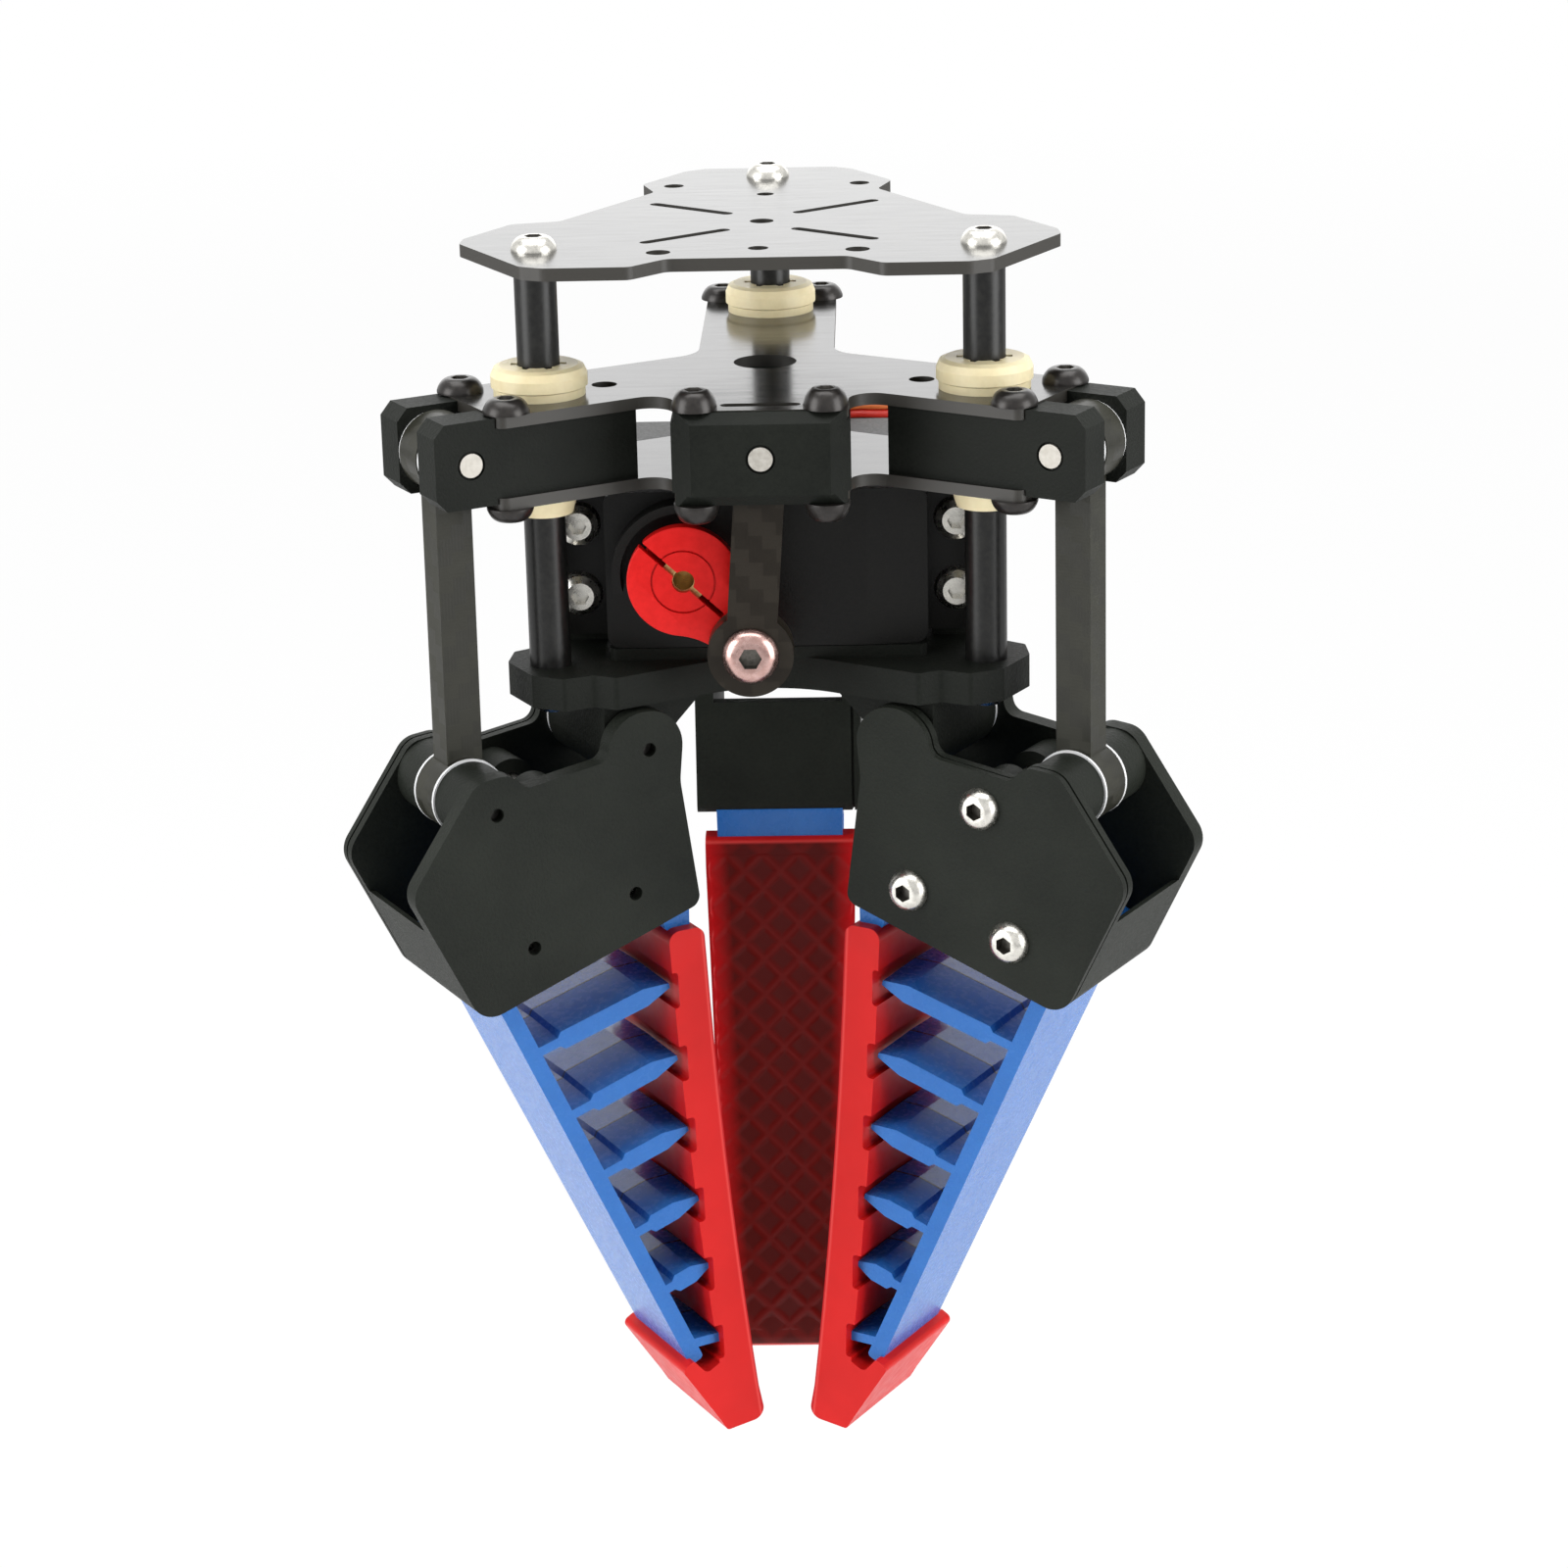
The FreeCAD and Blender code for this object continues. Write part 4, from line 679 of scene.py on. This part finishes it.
HORN_SHAFT = (-10.15, -40.8)
HORN_REACH = 11.845
HORN_TURN = math.radians(-45.86)
HORN_DISC_R = 7.05
HORN_EYE_R = 3.4
HORN_WAIST_R = 9.0
HORN_FRONT = -21.6
HORN_RIM_BACK = -20.0
HORN_BACK = -15.6
DISC_STEPS = 72
WAIST_STEPS = 12
EYE_STEPS = 40
ROUND_STEPS = 64
HORN_EDGE = 0.25
HORN_EDGE_MIDDLE = 0.07
HORN_ROUND = ((HORN_RIM_BACK, 0.0), (HORN_FRONT + HORN_EDGE, 0.0),
              (HORN_FRONT + HORN_EDGE_MIDDLE, -HORN_EDGE_MIDDLE), (HORN_FRONT, -HORN_EDGE))
SLIT_TURN = math.radians(-43.0)
SLIT_ENDS = (-8.2, 6.6)
SLIT_HALF = 0.35


def arc(centre, radius, start, stop, steps):
    """Points along an arc, without its last one."""
    points = []
    for step in range(steps):
        angle = start + (stop - start) * step / steps
        points.append((centre[0] + radius * math.cos(angle), centre[1] + radius * math.sin(angle)))
    return points


def on_horn(points, turn=HORN_TURN):
    """Points measured from the shaft along the arm, in the object's own directions."""
    cosine, sine = math.cos(turn), math.sin(turn)
    x, z = HORN_SHAFT
    return [(x + a * cosine - b * sine, z + a * sine + b * cosine) for a, b in points]


def horn_outline(grow):
    """Disc and eye joined by arcs that draw in between them."""
    disc, eye, waist = HORN_DISC_R + grow, HORN_EYE_R + grow, HORN_WAIST_R - grow
    along = ((disc + waist) ** 2 - (eye + waist) ** 2 + HORN_REACH ** 2) / (2.0 * HORN_REACH)
    beside = math.sqrt((disc + waist) ** 2 - along ** 2)
    disc_end = math.atan2(beside, along)
    eye_end = math.atan2(beside, along - HORN_REACH)
    points = arc((0.0, 0.0), disc, disc_end, 2.0 * math.pi - disc_end, DISC_STEPS)
    points += arc((along, -beside), waist, math.pi - disc_end, math.pi - eye_end, WAIST_STEPS)
    points += arc((HORN_REACH, 0.0), eye, -eye_end, eye_end, EYE_STEPS)
    points += arc((along, beside), waist, eye_end - math.pi, disc_end - math.pi, WAIST_STEPS)
    return on_horn(points)


def outward(piece):
    """The piece with all its faces looking outwards."""
    maker = bmesh.new()
    maker.from_mesh(piece.data)
    bmesh.ops.recalc_face_normals(maker, faces=maker.faces)
    maker.to_mesh(piece.data)
    maker.free()
    return piece


def loft(name, levels):
    """Closed solid through flat outlines at their distances along the y axis, in millimetres."""
    vertices = []
    for y, points in levels:
        vertices.extend((x, y, z) for x, z in points)
    faces = stack_faces(len(levels), len(levels[0][1]))
    return outward(mesh_piece(name, vertices, faces, [horn_red]))


def round_bar(name, radius, start, stop, at=0.0):
    points = on_horn(arc((at, 0.0), radius, 0.0, 2.0 * math.pi, ROUND_STEPS))
    return loft(name, [(start, points), (stop, points)])


def groove_ring(name, outer, inner, start, stop):
    """Ring round the shaft with a square section."""
    vertices = []
    for y, radius in ((start, inner), (start, outer), (stop, outer), (stop, inner)):
        circle = on_horn(arc((0.0, 0.0), radius, 0.0, 2.0 * math.pi, ROUND_STEPS))
        vertices.extend((x, y, z) for x, z in circle)
    return outward(mesh_piece(name, vertices, band_faces(ROUND_STEPS), [horn_red]))


horn = loft("horn_disc", [(y, horn_outline(grow)) for y, grow in HORN_ROUND])
NECK_START = 2.0
NECK_HALF = 2.5
neck = on_horn([(NECK_START, -NECK_HALF), (HORN_REACH, -NECK_HALF), (HORN_REACH, NECK_HALF),
                (NECK_START, NECK_HALF)])
slit = on_horn([(SLIT_ENDS[0], -SLIT_HALF), (SLIT_ENDS[1], -SLIT_HALF), (SLIT_ENDS[1], SLIT_HALF),
                (SLIT_ENDS[0], SLIT_HALF)], SLIT_TURN)
OVER = 1.0
LAP = 0.3
HORN_CREASE = math.radians(30.0)
HUB_R = 5.6
BOSS_R = 3.3
BORE_R = 3.0
CENTRE_R = 1.4
THREAD_R = 1.5
GROOVE_OUT = 4.07
GROOVE_IN = 3.83
GROOVE_DEEP = 0.4
BORE_FLOOR = 0.9
CENTRE_DEEP = 1.5
BOSS_SHORT = 0.01
NECK_SHORT = 0.02
horn_steps = [
    ("UNION", round_bar("horn_hub", HUB_R, HORN_RIM_BACK - LAP, HORN_BACK)),
    ("UNION", round_bar("horn_boss", BOSS_R, HORN_RIM_BACK - LAP, HORN_BACK - BOSS_SHORT, HORN_REACH)),
    ("UNION", loft("horn_neck", [(HORN_RIM_BACK - LAP, neck), (HORN_BACK - NECK_SHORT, neck)])),
    ("DIFFERENCE", round_bar("horn_bore", BORE_R, HORN_FRONT + BORE_FLOOR, HORN_BACK + OVER)),
    ("DIFFERENCE", round_bar("horn_centre", CENTRE_R, HORN_FRONT - OVER, HORN_FRONT + CENTRE_DEEP)),
    ("DIFFERENCE", round_bar("horn_thread", THREAD_R, HORN_FRONT - OVER, HORN_BACK + OVER, HORN_REACH)),
    ("DIFFERENCE", groove_ring("horn_groove", GROOVE_OUT, GROOVE_IN, HORN_FRONT - OVER,
                               HORN_FRONT + GROOVE_DEEP)),
    ("DIFFERENCE", loft("horn_slit", [(HORN_FRONT - OVER, slit), (HORN_BACK + OVER, slit)])),
]
for operation, other in horn_steps:
    cut = horn.modifiers.new(other.name, "BOOLEAN")
    cut.operation = operation
    cut.solver = "EXACT"
    cut.object = other
bpy.context.view_layer.update()
whole = bpy.data.meshes.new_from_object(horn.evaluated_get(bpy.context.evaluated_depsgraph_get()))
horn.modifiers.clear()
for _, other in horn_steps:
    bpy.data.objects.remove(other)
whole.transform(Matrix.Scale(MM, 4))
horn.data = whole
whole.shade_smooth()
whole.set_sharp_from_angle(angle=HORN_CREASE)
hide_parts("servo_horn")
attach(horn, "horn")


# Relief skin of each pad's gripping face: ridges round lozenges, standing on the pad

SKIN_TOP = -0.0900
SKIN_END = -0.1585
SKIN_ROWS = 236
SKIN_COLUMNS = 64
SKIN_INSET = 0.0002
SKIN_LIFT = 0.00003
RIDGE_LIFT = 0.00016
SKIN_SINK = 0.00012


def smooth_step(low, high, value):
    share = min(max((value - low) / (high - low), 0.0), 1.0)
    return share * share * (3.0 - 2.0 * share)


def ping_pong(value):
    """Distance of a value from the nearest whole number."""
    return abs(value - round(value))


def ridge_at(t, z):
    nearest = max(ping_pong((t + z) / LOZENGE), ping_pong((t - z) / LOZENGE))
    return smooth_step(RIDGE_LOW, RIDGE_HIGH, nearest)


def grip_skin(arm, azimuth):
    cosine, sine = math.cos(math.radians(azimuth)), math.sin(math.radians(azimuth))
    vertices = []
    for row in range(SKIN_ROWS + 1):
        z = SKIN_TOP + (SKIN_END - SKIN_TOP) * row / SKIN_ROWS
        half = half_width(z) - SKIN_INSET
        for column in range(SKIN_COLUMNS + 1):
            t = half * (2.0 * column / SKIN_COLUMNS - 1.0)
            rim = row in (0, SKIN_ROWS) or column in (0, SKIN_COLUMNS)
            lift = -SKIN_SINK if rim else SKIN_LIFT + RIDGE_LIFT * ridge_at(t, z)
            r = grip_at(z) - lift
            vertices.append((r * cosine - t * sine, r * sine + t * cosine, z))
    faces = []
    across = SKIN_COLUMNS + 1
    for row in range(SKIN_ROWS):
        for column in range(SKIN_COLUMNS):
            corner = row * across + column
            faces.append((corner, corner + 1, corner + across + 1, corner + across))
    skin = mesh_piece("pad_grip_" + arm, vertices, faces, [pad_reds[arm]])
    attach(skin, "finger_" + arm)


for arm, azimuth in ARMS.items():
    grip_skin(arm, azimuth)


# Servo lead: three wires side by side, gathered into a tied hank that ends in the plug

LEAD_ROUTE = [
    (18.6, 16.0, -42.5), (26.2, 16.0, -42.5), (31.8, 20.0, -39.4), (32.5, 27.5, -35.0),
    (25.5, 31.5, -31.5), (17.0, 29.4, -32.2), (8.5, 26.9, -31.2), (1.2, 25.5, -34.6),
    (-2.5, 25.3, -41.5),
]
# Turns of the hank, inwards in the near layer and outwards in the far one: the left and right ends,
# the levels of the runs and the layer.
NEAR_Y = 24.2
FAR_Y = 26.4
HANK_TURNS = [
    ("left", -19.0, -42.9, -51.3, NEAR_Y, NEAR_Y), ("right", 8.4, -51.3, -45.6, NEAR_Y, NEAR_Y),
    ("left", -15.8, -45.5, -48.7, NEAR_Y, NEAR_Y), ("right", 5.2, -48.7, -45.6, NEAR_Y, FAR_Y),
    ("left", -15.4, -45.5, -48.8, FAR_Y, FAR_Y), ("right", 8.0, -48.8, -42.9, FAR_Y, FAR_Y),
    ("left", -18.8, -42.8, -51.4, FAR_Y, FAR_Y),
]
LEAD_END = [(1.5, 26.4, -51.3), (7.6, 26.2, -50.6), (10.6, 25.4, -48.4), (13.5, 25.2, -47.6)]
FOLD_REACH = 4.6
FOLD_LEAN = 0.16


def hank_points():
    """Control points of the hank: three for each end of a turn, going round it."""
    points = [(-8.0, NEAR_Y, -42.9)]
    for side, end, start_z, stop_z, start_y, stop_y in HANK_TURNS:
        inward = 1.0 if side == "left" else -1.0
        lean = FOLD_LEAN * (stop_z - start_z)
        points.append((end + inward * FOLD_REACH, start_y, start_z))
        points.append((end, start_y, start_z + lean))
        points.append((end, stop_y, stop_z - lean))
        points.append((end + inward * FOLD_REACH, stop_y, stop_z))
    return points


def nurbs_line(name, points, resolution):
    """Points along a smooth spline with the given control points in millimetres."""
    curve = bpy.data.curves.new(name, "CURVE")
    curve.dimensions = "3D"
    curve.resolution_u = resolution
    spline = curve.splines.new("NURBS")
    spline.points.add(len(points) - 1)
    for place, point in zip(spline.points, points):
        place.co = (point[0] * MM, point[1] * MM, point[2] * MM, 1.0)
    spline.order_u = 3
    spline.use_endpoint_u = True
    holder = bpy.data.objects.new(name, curve)
    line = bpy.data.meshes.new_from_object(holder)
    places = [vertex.co.copy() for vertex in line.vertices]
    bpy.data.meshes.remove(line)
    bpy.data.objects.remove(holder)
    bpy.data.curves.remove(curve)
    return places


WIRE_R = 0.00058
WIRE_APART = 0.00116
BUNDLE_R = 0.00067
GATHER_FROM = 0.046
GATHER_TO = 0.062
TWIST_LENGTH = 0.034
WIRE_SIDES = 10


def lead_frames(places):
    """Direction, width direction and distance run at each place, turning as little as possible."""
    frames = []
    width = Vector((0.0, 0.0, 1.0))
    run = 0.0
    for index, place in enumerate(places):
        before = places[max(index - 1, 0)]
        after = places[min(index + 1, len(places) - 1)]
        ahead = (after - before).normalized()
        if run < GATHER_FROM:
            width = Vector((0.0, 0.0, 1.0))
        width = (width - ahead * width.dot(ahead)).normalized()
        frames.append((place, width, ahead.cross(width), run))
        if index + 1 < len(places):
            run += (places[index + 1] - place).length
    return frames


def wire_tube(frames, number):
    """Rings of one wire: flat beside the others at first, then twisted slowly with them."""
    vertices = []
    for place, width, thick, run in frames:
        gathered = smooth_step(GATHER_FROM, GATHER_TO, run)
        angle = 2.0 * math.pi * (number / 3.0 + max(run - GATHER_FROM, 0.0) / TWIST_LENGTH)
        flat = (number - 1) * WIRE_APART
        a = flat * (1.0 - gathered) + BUNDLE_R * math.cos(angle) * gathered
        b = BUNDLE_R * math.sin(angle) * gathered
        centre = place + width * a + thick * b
        for side in range(WIRE_SIDES):
            turn = 2.0 * math.pi * side / WIRE_SIDES
            out = width * (WIRE_R * math.cos(turn)) + thick * (WIRE_R * math.sin(turn))
            vertices.append(centre + out)
    return vertices


wire_colours = []
for name, dark, light in (
    ("lead brown", (0.055, 0.014, 0.006), (0.09, 0.024, 0.010)),
    ("lead red", (0.50, 0.016, 0.008), (0.62, 0.024, 0.012)),
    ("lead orange", (0.62, 0.14, 0.035), (0.78, 0.20, 0.055)),
):
    wire_colours.append(grainy(
        name, dark, light, roughness=(0.3, 0.4), grain_scale=900.0, grain_depth=0.00003, strength=0.2))
LINE_STEPS = 10
lead_line = nurbs_line("lead line", LEAD_ROUTE + hank_points() + LEAD_END, LINE_STEPS)
frames = lead_frames(lead_line)
vertices, faces, owners = [], [], []
for number in range(3):
    wire_faces = stack_faces(len(frames), WIRE_SIDES, len(vertices))
    vertices.extend(wire_tube(frames, number))
    faces.extend(wire_faces)
    owners.extend([number] * len(wire_faces))
lead = mesh_piece("lead_wires", vertices, faces, wire_colours)
for face, owner in zip(lead.data.polygons, owners):
    face.material_index = owner
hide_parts("servo_lead", "servo_lead_hank")
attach(lead, "frame")

TIE_X = (-7.6, -5.4)
TIE_Y = (22.95, 27.65)
TIE_Z = (-52.5, -41.75)
TIE_CORNER = 1.6
TIE_THICK = 0.4
TIE_STEPS = 6
tie_white = grainy(
    "tie nylon", dark=(0.62, 0.62, 0.58), light=(0.76, 0.76, 0.72), roughness=(0.35, 0.45),
    grain_scale=1200.0, grain_depth=0.00003, strength=0.2)


def rounded_loop(grow):
    """Points round the hank's section, grown outwards by a thickness."""
    points = []
    radius = TIE_CORNER + grow
    for quarter, (y, z) in enumerate((
        (TIE_Y[1] - TIE_CORNER, TIE_Z[1] - TIE_CORNER), (TIE_Y[0] + TIE_CORNER, TIE_Z[1] - TIE_CORNER),
        (TIE_Y[0] + TIE_CORNER, TIE_Z[0] + TIE_CORNER), (TIE_Y[1] - TIE_CORNER, TIE_Z[0] + TIE_CORNER),
    )):
        for step in range(TIE_STEPS + 1):
            angle = math.pi / 2.0 * (quarter + step / TIE_STEPS)
            points.append((y + radius * math.cos(angle), z + radius * math.sin(angle)))
    return points


def tie_band():
    """Flat band closed round the hank."""
    inner, outer = rounded_loop(0.0), rounded_loop(TIE_THICK)
    vertices = []
    for x, loop in ((TIE_X[0], inner), (TIE_X[0], outer), (TIE_X[1], outer), (TIE_X[1], inner)):
        vertices.extend((x * MM, y * MM, z * MM) for y, z in loop)
    faces = [(a, d, c, b) for a, b, c, d in band_faces(len(inner))]
    return vertices, faces


tie_vertices, tie_faces = tie_band()
tie = mesh_piece("lead_tie", tie_vertices, tie_faces, [tie_white], smooth=False)
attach(tie, "frame")


# Studio

# Azimuth, elevation and roll of the photograph's view, in degrees.
CAMERA_TURN = (1.574, 18.597, -1.322)


def look_basis():
    """Camera axes of the photograph: right, up and back."""
    azimuth, elevation, roll = (math.radians(value) for value in CAMERA_TURN)
    right = Vector((math.cos(azimuth), math.sin(azimuth), 0.0))
    level = Vector((math.sin(azimuth), -math.cos(azimuth), 0.0))
    back = level * math.cos(elevation) + Vector((0.0, 0.0, math.sin(elevation)))
    up = back.cross(right)
    rolled_right = right * math.cos(roll) + up * math.sin(roll)
    rolled_up = up * math.cos(roll) - right * math.sin(roll)
    return rolled_right, rolled_up, back


right, up, back = look_basis()
CAMERA_TARGET = Vector((1.17, 0.0, -74.637)) * MM
CAMERA_DISTANCE = 537.431 * MM
FOCAL_PIXELS = 4174.237
PHOTO_PIXELS = 1600.0
SENSOR = 36.0
camera_data = bpy.data.cameras.new("camera")
camera_data.sensor_width = SENSOR
camera_data.sensor_fit = "HORIZONTAL"
camera_data.lens = FOCAL_PIXELS / PHOTO_PIXELS * SENSOR
camera = bpy.data.objects.new("camera", camera_data)
rotation = Matrix((right, up, back)).transposed().to_4x4()
camera.matrix_world = Matrix.Translation(CAMERA_TARGET + back * CAMERA_DISTANCE) @ rotation
bpy.context.scene.collection.objects.link(camera)
bpy.context.scene.camera = camera


def area_lamp(name, place, size, power):
    """Softbox that looks at the middle of the object."""
    lamp = bpy.data.lights.new(name, "AREA")
    lamp.shape = "RECTANGLE"
    lamp.size, lamp.size_y = size
    lamp.energy = power
    holder = bpy.data.objects.new(name, lamp)
    holder.location = place
    holder.rotation_mode = "QUATERNION"
    holder.rotation_quaternion = (Vector(MIDDLE) - Vector(place)).to_track_quat("-Z", "Y")
    bpy.context.scene.collection.objects.link(holder)


MIDDLE = (0.0, 0.0, -0.08)
area_lamp("top softbox", place=(0.0, 0.0, 0.6), size=(0.8, 0.6), power=6.5)
area_lamp("left softbox", place=(-0.72, -0.38, 0.12), size=(0.5, 0.7), power=6.0)
area_lamp("right softbox", place=(0.72, -0.38, 0.10), size=(0.5, 0.7), power=6.0)
area_lamp("rear softbox", place=(0.0, 0.9, 0.25), size=(1.4, 0.5), power=2.3)

WORLD_FILL = 0.22
world = bpy.data.worlds.new("studio")
world.use_nodes = True
bpy.context.scene.world = world
tree = world.node_tree
background = tree.nodes["Background"]
path = tree.nodes.new("ShaderNodeLightPath")
seen = tree.nodes.new("ShaderNodeMath")
seen.operation = "MAXIMUM"
tree.links.new(path.outputs["Is Camera Ray"], seen.inputs[0])
tree.links.new(path.outputs["Is Glossy Ray"], seen.inputs[1])
seen_too = tree.nodes.new("ShaderNodeMath")
seen_too.operation = "MAXIMUM"
tree.links.new(seen.outputs["Value"], seen_too.inputs[0])
tree.links.new(path.outputs["Is Transmission Ray"], seen_too.inputs[1])
strength = tree.nodes.new("ShaderNodeMapRange")
strength.inputs["To Min"].default_value = WORLD_FILL
strength.inputs["To Max"].default_value = 1.0
tree.links.new(seen_too.outputs["Value"], strength.inputs["Value"])
tree.links.new(strength.outputs["Result"], background.inputs["Strength"])
background.inputs["Color"].default_value = (1.0, 1.0, 1.0, 1.0)

FLOOR_Z = -0.24
FLOOR_NEAR = 0.4
FLOOR_FAR = 1.5
FLOOR_WHITE = 0.92
FLOOR_HALF = 2.0
floor_mesh = bpy.data.meshes.new("floor")
maker = bmesh.new()
bmesh.ops.create_grid(maker, x_segments=1, y_segments=1, size=FLOOR_HALF)
maker.to_mesh(floor_mesh)
maker.free()
floor = bpy.data.objects.new("floor", floor_mesh)
floor.location = (0.0, 0.0, FLOOR_Z)
bpy.context.scene.collection.objects.link(floor)
floor_material = new_material("floor", colour=(0.85, 0.85, 0.85), roughness=0.9)
floor_path = add(floor_material, "ShaderNodeLightPath")
glow = add(floor_material, "ShaderNodeEmission")
glow.inputs["Strength"].default_value = 1.0
both = add(floor_material, "ShaderNodeMixShader")
floor_place = add(floor_material, "ShaderNodeTexCoord")
floor_reach = add(floor_material, "ShaderNodeVectorMath", operation="LENGTH")
link(floor_material, floor_place.outputs["Object"], floor_reach.inputs[0])
whiter = spread(floor_material, floor_reach.outputs["Value"], FLOOR_NEAR, FLOOR_FAR, FLOOR_WHITE, 1.0)
share = maths(floor_material, "MULTIPLY", floor_path.outputs["Is Camera Ray"], whiter)
link(floor_material, share, both.inputs["Fac"])
link(floor_material, shader_of(floor_material).outputs["BSDF"], both.inputs[1])
link(floor_material, glow.outputs["Emission"], both.inputs[2])
output = floor_material.node_tree.nodes["Material Output"]
link(floor_material, both.outputs["Shader"], output.inputs["Surface"])
floor_mesh.materials.append(floor_material)

bpy.context.scene.view_settings.view_transform = "Standard"
